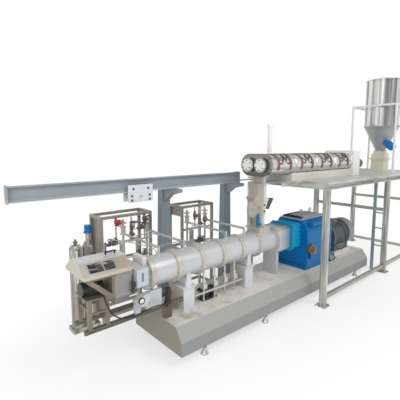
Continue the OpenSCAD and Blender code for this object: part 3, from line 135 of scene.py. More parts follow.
# paint or metal: broad stains and a stretched grain vary colour and gloss, and rounded edges are rubbed paler
def finish(name, colour, shade, metal=0.0, rough=0.45, grain=(60, 60, 60), grainMix=0.06, stain=1.7,
           stainMix=0.6, edge=0.004, wear=0.25, bump=0.05, uneven=0.08, shine=0.5, extra=None):
    material = bpy.data.materials.new(name)
    material.use_nodes = True
    tree = material.node_tree
    tree.nodes.clear()
    place = put(tree, "ShaderNodeTexCoord").outputs["Object"]
    fine = noise(tree, place, grain, 4.0, 0.6)
    broad = noise(tree, place, (stain, stain, stain), 4.0, 0.55)
    tone = blend(tree, ramp(tree, broad, 0.36, 0.7, 0.0, stainMix), rgb(*colour), rgb(*shade))
    if extra:
        tone = extra(tree, place, tone)
    tone = blend(tree, 1.0, tone, ramp(tree, fine, 0.3, 0.7, 1 - grainMix, 1 + grainMix), "MULTIPLY")
    rounded = put(tree, "ShaderNodeBevel", {"Radius": edge}, samples=4).outputs[0]
    flat = put(tree, "ShaderNodeNewGeometry").outputs["Normal"]
    turn = put(tree, "ShaderNodeVectorMath", {0: rounded, 1: flat}, operation="DOT_PRODUCT").outputs["Value"]
    rub = times(tree, ramp(tree, turn, 0.99, 0.86), ramp(tree, fine, 0.35, 0.6, 0.3 * wear, wear))
    tone = blend(tree, rub, tone, rgb(232, 231, 226))
    bumped = put(tree, "ShaderNodeBump", {
        "Strength": bump, "Distance": 0.004, "Height": fine, "Normal": rounded}).outputs[0]
    gloss = ramp(tree, fine, 0.3, 0.7, rough - uneven, rough + uneven)
    shader = put(tree, "ShaderNodeBsdfPrincipled", {
        "Base Color": tone, "Metallic": metal, "Roughness": gloss, "Specular IOR Level": shine,
        "Normal": bumped})
    put(tree, "ShaderNodeOutputMaterial", {"Surface": shader.outputs[0]})
    return material


# the skid's top is stained near the cutter; slopes and skirts differ by height, and the end face is painted
# darker as painted shade
def skidStainsAndShade(tree, place, tone):
    spill = ramp(tree, noise(tree, place, (5, 5, 5), 5.0, 0.6), 0.5, 0.66)
    spill = times(tree, spill, reach(tree, place, 0, 300, 1600, 0.75, 0.25))
    tone = blend(tree, spill, tone, rgb(166, 152, 132))
    tone = blend(tree, reach(tree, place, 2, 474, 477.8), rgb(160, 160, 156), tone)
    tone = blend(tree, reach(tree, place, 2, 311, 312.5), rgb(140, 141, 141), tone)
    # painted shade: the end face is painted darker
    return blend(tree, reach(tree, place, 0, 2, 4, 1.0, 0.0), tone, rgb(134, 130, 116))


# painted highlight: the rail's lower flange is painted paler than its web, as light on its top face
def railHighlight(tree, place, tone):
    return blend(tree, reach(tree, place, 2, 2026, 2030, 0.75, 0.0), tone, rgb(178, 184, 188))


# the hood's top is cooler than its slopes
def hoodTones(tree, place, tone):
    return blend(tree, reach(tree, place, 2, 1396, 1402), tone, rgb(204, 202, 204))


# flanges stand out beige from the grey jackets: they lie farther from the barrel axis
def barrelTones(tree, place, tone):
    out = away(tree, place, at(0, 0, barrelZ), (0.0, 1.0, 1.0))
    far = put(tree, "ShaderNodeVectorMath", {0: out}, operation="LENGTH").outputs["Value"]
    return blend(tree, ramp(tree, far, 0.196, 0.2, 0.0, 0.6), tone, rgb(194, 185, 167))


# the pane is painted dark as painted shade of the hood's inside, with pale streaks of the works behind it
def paneTones(tree, place, tone):
    patch = noise(tree, place, (9, 26, 26), 3.0)
    return blend(tree, ramp(tree, patch, 0.52, 0.64, 0.0, 0.75), tone, rgb(176, 168, 150))


# the chute's drive side carries a paler plate
def chuteTones(tree, place, tone):
    return blend(tree, reach(tree, place, 0, 2010, 2012, 0.0, 0.8), tone, rgb(218, 216, 209))


# painted shade: pedestals are painted darker on the faces that look towards the cutter
def pedestalShade(tree, place, tone):
    return blend(tree, ramp(tree, facing(tree, 0), -0.9, -0.5, 0.75, 0.0), tone, rgb(176, 171, 154))


# legs and tanks are polished: long upright streaks, dark and bright side by side; the bright streaks are
# painted reflections
def legStreaksAndGlints(tree, place, tone):
    streak = noise(tree, place, (26, 26, 1.3), 3.0)
    tone = blend(tree, ramp(tree, streak, 0.36, 0.5, 0.75, 0.0), tone, rgb(104, 101, 90))
    return blend(tree, ramp(tree, streak, 0.54, 0.66, 0.0, 0.8), tone, rgb(232, 233, 231))


# the deck's rim mirrors its surroundings in patches along its length
def deckTones(tree, place, tone):
    patch = noise(tree, place, (2.6, 2.6, 12), 4.0)
    rim = times(tree, ramp(tree, facing(tree, 2), 0.4, 0.8, 0.7, 0.0), ramp(tree, patch, 0.44, 0.6))
    return blend(tree, rim, tone, rgb(138, 135, 122))


# the conditioner's end plate and first flange are dull beside the polished trough
def shellTones(tree, place, tone):
    return blend(tree, reach(tree, place, 0, shellX + 55, shellX + 63, 0.85, 0.0), tone, rgb(138, 134, 124))


# caps on the end bearings are pale and the hubs behind them dark
def capTones(tree, place, tone):
    return blend(tree, reach(tree, place, 0, shellX - 46.5, shellX - 45.5), tone, rgb(70, 66, 62))


# the lantern's colour runs from silver-grey to blue towards the gearbox
def lanternTones(tree, place, tone):
    return blend(tree, reach(tree, place, 0, 2330, 2600), tone, rgb(70, 128, 158))


# painted reflections: upright streaks of bright and dark round the polished bin, from a noise that hardly
# changes with height
def binReflections(tree, place, tone):
    streak = noise(tree, away(tree, place, at(hopperX, 0, 0), (1.0, 1.0, 0.02)), (8, 8, 8))
    return blend(tree, ramp(tree, streak, 0.4, 0.6), rgb(132, 134, 133), rgb(251, 251, 249))


# the clamp cylinder is dark red on its drive side
def bandTones(tree, place, tone):
    return blend(tree, reach(tree, place, 0, 94, 96), tone, rgb(120, 30, 30))


# the pump's face is brass, its foot is painted and the fittings high above it are brown
def pumpTones(tree, place, tone):
    tone = blend(tree, reach(tree, place, 2, 765, 766), rgb(38, 96, 170), tone)
    return blend(tree, reach(tree, place, 2, 1300, 1301), tone, rgb(70, 52, 40))


# each finish: colour, colour of its stains, and what differs from plain paint
looks = dict(
    skid=((224, 220, 213), (192, 186, 176), dict(rough=0.5, edge=0.006, wear=0.6, extra=skidStainsAndShade)),
    stainless=((206, 206, 204), (176, 175, 170), dict(metal=0.7, rough=0.3, wear=0.3)),
    lightSteel=((198, 203, 207), (176, 180, 182), dict(metal=0.3, rough=0.42, wear=0.45)),
    pedestal=((212, 214, 218), (196, 196, 193), dict(wear=0.5, extra=pedestalShade)),
    barrel=((206, 207, 209), (190, 190, 190), dict(
        metal=0.35, rough=0.36, grain=(18, 60, 60), wear=0.15, extra=barrelTones)),
    saddle=((214, 217, 220), (188, 190, 192), dict(metal=0.25, rough=0.42)),
    lantern=((196, 199, 199), (170, 176, 178), dict(metal=0.3, rough=0.35, wear=0.4, extra=lanternTones)),
    gearBlue=((0, 110, 172), (2, 90, 146), dict(rough=0.4, shine=0.2, wear=0.3)),
    cyan=((6, 154, 204), (12, 132, 184), dict(rough=0.38, shine=0.25, wear=0.35)),
    plateBlue=((14, 116, 186), (10, 92, 152), dict(rough=0.4, shine=0.25)),
    pump=((156, 134, 88), (112, 94, 62), dict(metal=0.5, rough=0.4, extra=pumpTones)),
    black=((40, 41, 45), (58, 57, 58), dict(rough=0.42, wear=0.3)),
    clamp=((30, 28, 31), (48, 45, 46), dict(rough=0.38, extra=bandTones)),
    motor=((102, 106, 111), (78, 82, 86), dict(wear=0.3)),
    cowl=((146, 152, 158), (120, 126, 132), dict(rough=0.42)),
    darkBar=((108, 100, 88), (78, 71, 62), dict(metal=0.3, wear=0.35)),
    tanDark=((136, 128, 112), (104, 96, 82), dict(metal=0.35, rough=0.42, wear=0.4)),
    hood=((198, 189, 174), (176, 166, 149), dict(
        metal=0.3, rough=0.34, grain=(16, 60, 60), wear=0.5, extra=hoodTones)),
    slopePlate=((184, 170, 148), (164, 148, 126), dict(metal=0.3, rough=0.36, wear=0.4)),
    pane=((44, 46, 45), (96, 92, 82), dict(rough=0.16, wear=0.0, extra=paneTones)),
    rubber=((26, 26, 28), (42, 41, 41), dict(rough=0.6, wear=0.0, edge=0.002)),
    rail=((146, 156, 165), (124, 134, 144), dict(wear=0.45, extra=railHighlight)),
    post=((136, 150, 157), (110, 123, 130), dict(rough=0.48, wear=0.35)),
    white=((230, 231, 231), (206, 206, 203), dict(rough=0.4, wear=0.2)),
    palePlate=((213, 220, 225), (194, 200, 204), dict(rough=0.4, wear=0.2)),
    cast=((70, 70, 72), (50, 48, 46), dict(rough=0.55)),
    legSteel=((186, 187, 182), (134, 133, 120), dict(
        metal=0.25, rough=0.42, grain=(50, 50, 8), grainMix=0.14, stainMix=0.8, wear=0.6, extra=legStreaksAndGlints)),
    tank=((172, 171, 160), (136, 134, 120), dict(
        metal=0.25, rough=0.4, stainMix=0.8, wear=0.4, extra=legStreaksAndGlints)),
    tubing=((178, 178, 172), (132, 130, 118), dict(metal=0.25, rough=0.42, wear=0.6)),
    rack=((160, 155, 144), (120, 114, 104), dict(metal=0.25, wear=0.4)),
    deck=((208, 209, 206), (182, 181, 173), dict(metal=0.3, rough=0.4, wear=0.5, extra=deckTones)),
    teal=((62, 88, 92), (46, 66, 70), dict(metal=0.2, rough=0.4)),
    shell=((222, 222, 220), (190, 188, 185), dict(
        metal=0.85, rough=0.18, grain=(14, 60, 60), wear=0.0, bump=0.0, uneven=0.015, extra=shellTones)),
    bin=((204, 205, 205), (176, 176, 175), dict(
        metal=0.55, rough=0.24, grain=(40, 40, 2), grainMix=0.02, wear=0.0, bump=0.0, uneven=0.01,
        extra=binReflections)),
    strap=((146, 104, 100), (92, 62, 60), dict(metal=0.45, rough=0.3, stain=6.0, wear=0.5)),
    handle=((86, 74, 72), (60, 52, 50), dict(metal=0.4, rough=0.34, wear=0.4)),
    casing=((238, 237, 233), (216, 213, 206), dict(rough=0.42, wear=0.3)),
    base=((224, 220, 210), (198, 192, 180), dict(metal=0.2, rough=0.42, wear=0.45)),
    fan=((182, 178, 167), (154, 149, 137), dict(metal=0.2, rough=0.42, wear=0.5)),
    chute=((186, 182, 168), (160, 154, 140), dict(metal=0.2, rough=0.42, wear=0.5, extra=chuteTones)),
    valve=((118, 112, 100), (76, 72, 66), dict(metal=0.4, rough=0.42, wear=0.5)),
    chamber=((152, 152, 148), (126, 124, 116), dict(metal=0.25, rough=0.4, grain=(20, 60, 60), wear=0.5)),
    beige=((226, 219, 202), (204, 195, 174), dict(wear=0.3)),
    cone=((166, 170, 168), (140, 144, 142), dict(metal=0.4, rough=0.4)),
    bearing=((246, 245, 243), (222, 220, 216), dict(rough=0.38, edge=0.003, extra=capTones)),
    bolt=((70, 68, 66), (46, 44, 42), dict(metal=0.6, rough=0.4, edge=0.001)),
    brightBolt=((198, 198, 196), (156, 154, 150), dict(metal=0.7, rough=0.3, edge=0.001)),
    red=((180, 40, 34), (130, 30, 27), dict(rough=0.4)),
    brass=((150, 112, 70), (112, 84, 54), dict(metal=0.5, rough=0.4)),
    blockPaint=((224, 219, 213), (200, 192, 184), dict(rough=0.42, wear=0.4)),
)
paints = {name: finish(name, colour, shade, **rest) for name, (colour, shade, rest) in looks.items()}
print("finishes:", len(paints))

# which finish each CAD node wears
wears = dict(
    skid_base="skid", levelling_feet="stainless", pedestals="pedestal", barrel_saddles="saddle",
    barrel_sections="barrel", die_head="barrel", die_side_box="lightSteel", lantern_housing="lantern",
    thrust_housing="cyan", gearbox_case="gearBlue", gearbox_cover="lightSteel", oil_pump="pump",
    lube_motor="plateBlue", coupling_guard="black", drive_motor="motor", motor_fan_cowl="cowl",
    jacket_manifold="stainless", cutter_rails="darkBar", cutter_stand="tanDark", knife_chamber="chamber",
    discharge_funnel="tanDark", cutter_motor="black", clamp_cylinder="clamp", hinge_pin="stainless",
    knife_rotor="stainless", cutter_hood="hood", hood_window="pane", hood_handle="rubber", rail_beam="rail",
    rail_posts="post", trolley_plates="palePlate", trolley_wheels="cast", platform_legs="legSteel",
    platform_beams="deck", platform_deck="deck", platform_rails="tubing", hopper_guard="white",
    conditioner_shell="shell", conditioner_bearings="bearing", conditioner_straps="strap",
    conditioner_base="base", conditioner_casing="casing", conditioner_motor="motor", vent_pipe="casing",
    drop_chute="chute", bypass_branch="teal", bypass_fan="fan", bypass_cylinder="plateBlue",
    hopper_bin="bin", hopper_lid="stainless", hopper_cone="cone", agitator_motor="plateBlue",
    screw_feeder="beige", rack_frames="rack", rack_tanks="tank", dosing_motor="plateBlue",
    rack_piping="stainless", cutter_cable="rubber", motor_cable="rubber", drain_cable="rubber",
)
for name, paint in wears.items():
    cad[name].data.materials.clear()
    cad[name].data.materials.append(paints[paint])


# corner numbers of the quads between the rows of a grid, the columns closed into a ring
def ringFaces(rows, columns):
    i, j = np.meshgrid(np.arange(rows - 1), np.arange(columns), indexing="ij")
    k = (j + 1) % columns
    corners = [i * columns + j, i * columns + k, (i + 1) * columns + k, (i + 1) * columns + j]
    return np.stack(corners, -1).reshape(-1, 4)


# the first and last row of such a grid as discs
def endFaces(rows, columns):
    return [list(range(columns))[::-1], list(range((rows - 1) * columns, rows * columns))]


# two directions square to the given one
def square(axis):
    w = np.asarray(axis, float) / np.linalg.norm(axis)
    u = np.cross(w, toZ if abs(w[2]) < 0.9 else toX)
    u /= np.linalg.norm(u)
    return u, np.cross(w, u), w


# surface of turning: point(s, t) = centre + height(s) along the axis + radius(s) round it at angle t
# an open profile gets end discs, one that returns to its start is a ring, and a downward one is turned round
def turned(profile, centre, axis, sides=24):
    u, v, w = square(axis)
    radius, height = np.array(profile, float).T / 1000
    ringed = radius[0] == radius[-1] and height[0] == height[-1]
    if np.sum((radius[:-1] + radius[1:]) * np.diff(height)) < 0:
        radius, height = radius[::-1], height[::-1]
    t = np.linspace(0, 2 * np.pi, sides, endpoint=False)
    ring = np.cos(t)[:, None] * u + np.sin(t)[:, None] * v
    points = (centre + height[:, None, None] * w + radius[:, None, None] * ring).reshape(-1, 3)
    faces = ringFaces(len(radius), sides)
    if ringed:
        return points[:-sides], (faces % (len(points) - sides)).tolist()
    return points, faces.tolist() + endFaces(len(radius), sides)


# unit steps along a path
def heading(path):
    along = np.gradient(path, axis=0)
    return along / np.linalg.norm(along, axis=1)[:, None]


# tube: point(s, t) = path(s) + radius round the path at angle t, which starts square to a fixed slant
def tube(path, radius, sides=12):
    path = np.asarray(path, float)
    along = heading(path)
    u = np.cross(along, [0.13, 0.09, 1.0])
    u /= np.linalg.norm(u, axis=1)[:, None]
    v = np.cross(along, u)
    t = np.linspace(0, 2 * np.pi, sides, endpoint=False)[None, :, None]
    points = path[:, None] + radius * (np.cos(t) * u[:, None] + np.sin(t) * v[:, None])
    return points.reshape(-1, 3), ringFaces(len(path), sides).tolist() + endFaces(len(path), sides)


# bar with a flat section: the corners of a width by depth rectangle carried along the path
def strip(path, across, width, depth):
    path = np.asarray(path, float)
    across = np.broadcast_to(np.asarray(across, float), path.shape)
    up = np.cross(heading(path), across)
    up /= np.linalg.norm(up, axis=1)[:, None]
    corner = np.array([[-1, -1], [1, -1], [1, 1], [-1, 1]]) / 2
    sideways = corner[None, :, :1] * width * across[:, None]
    points = path[:, None] + sideways + corner[None, :, 1:] * depth * up[:, None]
    return points.reshape(-1, 3), ringFaces(len(path), 4).tolist() + endFaces(len(path), 4)


# curve through points: Catmull-Rom weights of the four points round each step, whole arrays at once
def smooth(points, steps=5):
    p = np.asarray(points, float)
    p = np.vstack([2 * p[0] - p[1], p, 2 * p[-1] - p[-2]])
    s = np.linspace(0, 1, steps, endpoint=False)[None, :, None]
    a, b, c, d = p[:-3, None], p[1:-2, None], p[2:-1, None], p[3:, None]
    curve = b + 0.5 * s * (c - a)
    curve = curve + s**2 * (a - 2.5 * b + 2 * c - 0.5 * d) + s**3 * (1.5 * (b - c) + 0.5 * (d - a))
    return np.vstack([curve.reshape(-1, 3), p[-2]])


# a smooth curve through drawing places
def bend(places, steps):
    return smooth([at(*place) for place in places], steps)


# hoop: point(s, t) = centre + (radius + thick cos t) round the axis at angle s + thick sin t along it
def hoop(centre, axis, radius, thick, steps=32, sides=10):
    u, v, w = square(axis)
    s = np.linspace(0, 2 * np.pi, steps, endpoint=False)[:, None, None]
    t = np.linspace(0, 2 * np.pi, sides, endpoint=False)[None, :, None]
    out = (radius + thick * np.cos(t)) / 1000
    points = centre + out * (np.cos(s) * u + np.sin(s) * v) + thick * np.sin(t) / 1000 * w
    i, j = np.meshgrid(np.arange(steps), np.arange(sides), indexing="ij")
    a, b = (i + 1) % steps, (j + 1) % sides
    faces = np.stack([i * sides + j, a * sides + j, a * sides + b, i * sides + b], -1).reshape(-1, 4)
    return points.reshape(-1, 3), faces.tolist()


# block with rounded edges: a rounded rectangle at four heights, drawn in by the edge at the first and last
def pad(low, high, edge=8):
    low, high = np.array(low, float), np.array(high, float)
    t = (np.arange(4)[:, None] * 90 + np.linspace(0, 90, 4)[None]).ravel() * np.pi / 180
    sign = np.repeat(np.array([[1, 1], [-1, 1], [-1, -1], [1, -1]]), 4, axis=0)
    half = (high - low)[:2] / 2
    inset = np.array([edge, 0, 0, edge]) * 0.6
    ring = sign * (half - edge) + edge * np.stack([np.cos(t), np.sin(t)], -1)
    flat = ring[None] * (1 - inset[:, None, None] / half) + low[:2] + half
    level = np.array([low[2], low[2] + edge, high[2] - edge, high[2]])
    points = np.concatenate([flat, np.broadcast_to(level[:, None, None], (4, 16, 1))], -1)
    return zero + points.reshape(-1, 3) / 1000, ringFaces(4, 16).tolist() + endFaces(4, 16)


# points evenly round a circle
def around(centre, axis, radius, count, start=0.0):
    u, v, w = square(axis)
    t = start + np.arange(count) * 2 * np.pi / count
    return np.asarray(centre) + radius / 1000 * (np.cos(t)[:, None] * u + np.sin(t)[:, None] * v)


# handwheel: a hoop, three spokes and a hub on the axis
def handwheel(centre, axis, radius, rim=6, spoke=4):
    hub = turned([(6, -14), (14, -10), (14, 10), (8, 14)], centre, axis, 16)
    spokes = [tube([centre, q], spoke / 1000, 8) for q in around(centre, axis, radius, 3, 0.4)]
    return [hoop(centre, axis, radius, rim), hub] + spokes


# valve: a waisted body between two flanges along the pipe, and a bonnet with its stem across it
def valveBody(centre, along, out, size=1.0):
    half = np.array([(12, 70), (27, 70), (27, 58), (16, 52), (27, 28)])
    body = np.vstack([half * [1, -1], [(33, 0)], half[::-1]])
    bonnet = np.array([(14, 0), (14, 38), (24, 40), (24, 50), (15, 54), (11, 74), (6, 78), (6, 104)])
    return [turned(body * size, centre, along, 20), turned(bonnet * size, centre, out, 18)]


# bolt heads: a six sided ring at three heights, the top one drawn in, repeated at every centre
def heads(centres, axis, size, height):
    u, v, w = square(axis)
    centres = np.asarray(centres, float).reshape(-1, 3)
    t = np.arange(6) * np.pi / 3
    ring = np.cos(t)[:, None] * u + np.sin(t)[:, None] * v
    level = np.array([0, 0.72, 1]) * height / 1000
    wide = np.array([1, 1, 0.82]) * size / 1000
    one = (level[:, None, None] * w + wide[:, None, None] * ring).reshape(-1, 3)
    points = centres[:, None] + one[None]
    shift = np.arange(len(centres))[:, None, None] * len(one)
    sides = (ringFaces(3, 6)[None] + shift).reshape(-1, 4).tolist()
    ends = (np.array(endFaces(3, 6))[None] + shift).reshape(-1, 6).tolist()
    return points.reshape(-1, 3), sides + ends


# one object from several surfaces, in its finish and on its body
def addPiece(name, parts, paint, body="plant", rounded=True):
    points, faces, shift = [], [], 0
    for p, f in parts:
        points.append(p)
        faces += [[i + shift for i in face] for face in f]
        shift += len(p)
    mesh = bpy.data.meshes.new(name)
    mesh.from_pydata(np.vstack(points).tolist(), [], faces)
    mesh.update()
    if rounded:
        mesh.shade_smooth()
        mesh.set_sharp_from_angle(angle=math.radians(40))
    mesh.materials.append(paints[paint])
    piece = bpy.data.objects.new(name, mesh)
    bpy.context.scene.collection.objects.link(piece)
    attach(piece, body)
    return piece


# free cables: the routes of the CAD tubes, smoothed
cables = dict(
    cutterCable=dict(node="cutter_cable", lay="hanging", route=[
        [-800, -102.3, 1075], [-800, -120, 1075], [-799, -140, 1071], [-797, -160, 1060], [-794, -177, 1043],
        [-790, -190, 1020], [-785, -200, 993], [-778, -210, 960], [-767, -222, 920], [-750, -234, 875],
        [-726, -243, 830], [-696, -248, 790], [-658, -250, 757], [-612, -250, 732], [-560, -250, 716],
        [-505, -250, 708], [-450, -249, 706], [-395, -247, 708], [-340, -244, 713], [-285, -240, 718],
        [-230, -236, 721], [-175, -231, 721], [-120, -225, 716], [-70, -218, 705], [-25, -208, 690],
        [12, -200, 670], [36, -189, 653], [53, -177, 644], [58, -167, 642], [58, -157.3, 642]]),
    motorCable=dict(node="motor_cable", lay="hanging", route=[
        [4140, -142.8, 1120], [4140, -165, 1120], [4145, -190, 1120], [4156, -220, 1117], [4170, -250, 1107],
        [4190, -280, 1088], [4214, -304, 1060], [4240, -320, 1024], [4266, -330, 982], [4290, -336, 936],
        [4310, -340, 888], [4324, -342, 838], [4330, -343, 788], [4328, -343, 740], [4316, -343, 696],
        [4294, -342, 658], [4264, -340, 628], [4228, -336, 608], [4188, -331, 599], [4146, -324, 602],
        [4106, -315, 616], [4070, -303, 638], [4038, -288, 664], [4010, -270, 687], [3984, -250, 702],
        [3958, -229, 709], [3936, -210, 711], [3921, -195, 711], [3916, -183, 711], [3916, -170.3, 711]]),
    drainCable=dict(node="drain_cable", lay="loose", route=[
        [3860, -170.3, 640], [3860, -190, 640], [3864, -212, 635], [3871, -236, 623], [3879, -260, 606],
        [3886, -284, 584], [3890, -307, 560], [3889, -329, 536], [3882, -348, 515], [3868, -364, 499],
        [3848, -376, 490], [3822, -385, 487], [3792, -390, 486.4], [3760, -393, 486.4], [3726, -394, 486.4],
        [3690, -394, 486.4], [3655, -393, 486.4], [3622, -391, 486.4], [3594, -387, 486.4],
        [3572, -380, 486.4], [3556, -376, 486.4], [3552, -371, 486.4], [3552, -363.3, 486.4]]),
)
cableSize = 0.016
for name, cable in cables.items():
    path = bend(cable["route"], 3)
    piece = addPiece(name, [tube(path, cableSize / 2)], "rubber")
    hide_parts(cable["node"])

# barrel bolts: both sides of every joint, then the inlet's end and the die head (place, side, circle, count)
flange = dict(first=-150, pitch=400, joints=6, near=-30.4, far=30, circle=200, count=16, size=9, height=9,
              start=0.1)
barrelEnds = dict(rings=((2250, -1, 232, 16), (-365, 1, 188, 14)), size=11, height=10)
parts = []
for i in range(flange["joints"]):
    x = flange["first"] + flange["pitch"] * i
    for side, off in ((-1, flange["near"]), (1, flange["far"])):
        ring = around(at(x + off, 0, barrelZ), side * toX, flange["circle"], flange["count"], flange["start"])
        parts.append(heads(ring, side * toX, flange["size"], flange["height"]))
for x, side, circle, count in barrelEnds["rings"]:
    ring = around(at(x, 0, barrelZ), side * toX, circle, count, flange["start"])
    parts.append(heads(ring, side * toX, barrelEnds["size"], barrelEnds["height"]))
addPiece("barrelBolts", parts, "brightBolt", rounded=False)

# drive: a row of bolts down the thrust housing, and along the gearbox cover
thrust = dict(x=2862, y=223, low=-150, high=150, count=5, size=13, height=11)
levels = barrelZ + np.linspace(thrust["low"], thrust["high"], thrust["count"])
parts = []
for s in (-1, 1):
    spots = [at(thrust["x"], s * thrust["y"], z) for z in levels]
    parts.append(heads(spots, s * toY, thrust["size"], thrust["height"]))
addPiece("thrustBolts", parts, "bolt", rounded=False)
cover = dict(x0=2930, x1=3690, y=207, z=1356, along=9, size=8, height=7)
row = np.linspace(cover["x0"], cover["x1"], cover["along"])
spots = [at(x, s * cover["y"], cover["z"]) for s in (-1, 1) for x in row]
parts = [heads(spots, toZ, cover["size"], cover["height"])]
addPiece("coverBolts", parts, "brightBolt", rounded=False)

# conditioner: bolts of caps and hubs (circle, count, first angle, off the plate, size, height)
caps = dict(pitch=254, rings=((74, 6, 0.5, 70, 9, 9), (104, 8, 0.2, 46, 7, 6)))
parts = []
for s in (-1, 1):
    for circle, count, start, off, size, height in caps["rings"]:
        ring = around(at(shellX - off, s * caps["pitch"] / 2, shellZ), -toX, circle, count, start)
        parts.append(heads(ring, -toX, size, height))
addPiece("capBolts", parts, "bolt", rounded=False)

# its end plate is bolted round two half circles and along two straights
plate = dict(radius=171, turn=11, straight=42, size=7, height=7)
r, half = plate["radius"], caps["pitch"] / 2
spots = [at(shellX, s * (half + r * math.sin(a)), shellZ + r * math.cos(a))
         for s in (-1, 1) for a in np.linspace(0, np.pi, plate["turn"])]
spots += [at(shellX, y * plate["straight"], shellZ + s * r) for s in (-1, 1) for y in (-1, 1)]
addPiece("endPlateBolts", [heads(spots, -toX, plate["size"], plate["height"])], "bolt", rounded=False)

# M shaped door handles: corners given along the shell and by angle up its side, lifted between the feet
grip = dict(first=1948, bays=4, bay=647, wide=190, off=34, size=9, y=-127, radius=166, foot=0.25,
            across=(-0.5, -0.36, 0.0, 0.36, 0.5), climb=(4, 52, 22, 52, 4))
corner = np.arange(5)
step = np.linspace(0, 4, 61)
angle = np.interp(step, corner, np.radians(grip["climb"]))
r = grip["radius"] + np.clip(np.minimum(step, 4 - step) / grip["foot"], 0, 1) * grip["off"]
parts = []
for i in range(grip["bays"]):
    x = grip["first"] + grip["bay"] * (i + 0.5) + grip["wide"] * np.interp(step, corner, grip["across"])
    path = np.stack([x, grip["y"] - r * np.cos(angle), shellZ + r * np.sin(angle)], -1) / 1000 + zero
    parts.append(tube(path, grip["size"] / 1000, 10))
addPiece("doorHandles", parts, "handle")
print("drive and conditioner dressed")

# trolley: bolt heads through the plates and a ring round the lifting eye
trolley = dict(x=145, y=568, deep=144, low=1890, high=1950, out=140, axle=117, axleZ=2046.3, size=16,
               height=12, eyeZ=1940, eye=((9, 0), (16, 0), (18, 4), (16, 8), (9, 8), (8.5, 4), (9, 0)))
spots = [(trolley["x"] + s * trolley["out"], z) for s in (-1, 1) for z in (trolley["low"], trolley["high"])]
spots += [(trolley["x"] + s * trolley["axle"], trolley["axleZ"]) for s in (-1, 1)]
parts = [heads([at(x, y, z) for x, z in spots], side * toY, trolley["size"], trolley["height"])
         for side, y in ((-1, trolley["y"]), (1, trolley["y"] + trolley["deep"]))]
addPiece("trolleyBolts", parts, "bolt", "trolley", False)
parts = [turned(trolley["eye"], at(trolley["x"], trolley["y"], trolley["eyeZ"]), -toY, 32)]
addPiece("trolleyEye", parts, "lightSteel", "trolley")

# platform feet: a stud and nut in each hole of the leg plates
legs = dict(xs=(2780, 5200, 7160), ys=(-750, 850), hole=65, plate=15, size=15, height=13,
            stud=((7.4, 0), (7.4, 24), (6, 27)))
spots = [at(x + a * legs["hole"], y + b * legs["hole"], legs["plate"])
         for x in legs["xs"] for y in legs["ys"] for a in (-1, 1) for b in (-1, 1)]
parts = [heads(spots, toZ, legs["size"], legs["height"])]
parts += [turned(legs["stud"], spot, toZ, 10) for spot in spots]
addPiece("footNuts", parts, "brightBolt", rounded=False)

# skid feet: a lock nut on each stem
feet = dict(xs=(410, 1630, 3310, 4530), y=470, z=96, size=29, height=20)
spots = [at(x, s * feet["y"], feet["z"]) for x in feet["xs"] for s in (-1, 1)]
addPiece("footLocks", [heads(spots, toZ, feet["size"], feet["height"])], "bolt", rounded=False)

# hood trim on the near slope: strips round the pane, a bar across it and a plain plate beside it
trim = dict(left=-1025, low=(-260, 1285), high=(-105, 1405), pane=(80, 380), up=(37, 159), lap=5, over=12,
            bar=246, wide=15, thick=6, off=3, barOff=2, barShare=0.8, plate=(402, 534), plateWide=150,
            plateThick=5, plateOff=2, inset=14, bolt=6, boltHeight=4, boltOff=4, boltLap=4)
rise = np.array([0.0, trim["high"][0] - trim["low"][0], trim["high"][1] - trim["low"][1]])
rise /= np.linalg.norm(rise)
lift = np.cross(toX, rise)


# a place on the slope: along the hood, up the slope and off it
def onSlope(a, b, off):
    return at(*(np.array([trim["left"] + a, *trim["low"]]) + b * rise + off * lift))


left, right = trim["pane"]
low, high = trim["up"]
wide, thick = trim["wide"] / 1000, trim["thick"] / 1000
lap, over, off = trim["lap"], trim["over"], trim["off"]
parts = [strip([onSlope(left - over, b, off), onSlope(right + over, b, off)], rise, wide, thick)
         for b in (low - lap, high + lap)]
parts += [strip([onSlope(a, low, off), onSlope(a, high, off)], toX, wide, thick)
          for a in (left - lap, right + lap)]
line = [onSlope(trim["bar"], b, trim["barOff"]) for b in (low, high)]
parts.append(strip(line, toX, wide * trim["barShare"], thick))
addPiece("windowFrame", parts, "stainless", "hood", False)
left, right = trim["plate"]
middle, inset, lap = (low + high) / 2, trim["inset"], trim["boltLap"]
line = [onSlope(a, middle, trim["plateOff"]) for a in (left, right)]
spots = [onSlope(a, b, trim["boltOff"])
         for a in (left + inset, right - inset) for b in (low - lap, high + lap)]
parts = [strip(line, rise, trim["plateWide"] / 1000, trim["plateThick"] / 1000)]
parts.append(heads(spots, lift, trim["bolt"], trim["boltHeight"]))
addPiece("hoodPlate", parts, "slopePlate", "hood", False)

# cutter: a gauge with a dark rim on the side box, clamp knobs beside it and the block over the die
gauge = dict(place=(-392, -300.2, 886), rim=((34, 0), (39, 2), (39, 15), (35, 19), (30, 19), (29, 13)),
             face=((28.5, 13.2), (28.5, 15), (27, 15.6)))
spot = at(*gauge["place"])
addPiece("gaugeRim", [turned(gauge["rim"], spot, -toY, 28)], "rubber")
addPiece("gaugeFace", [turned(gauge["face"], spot, -toY, 28)], "white")
knobs = dict(y=-262, spots=((-468, 1012), (-462, 1058), (-470, 1100)),
             shape=((7, 48), (9, 44), (9, 8), (20, 4), (24, -6), (22, -18), (12, -24)))
parts = [turned(knobs["shape"], at(x, knobs["y"], z), toX, 18) for x, z in knobs["spots"]]
addPiece("clampKnobs", parts, "black")
block = dict(low=(-262, -118, 1205), high=(-198, 118, 1312), edge=10)
addPiece("dieBlock", [pad(block["low"], block["high"], block["edge"])], "blockPaint")

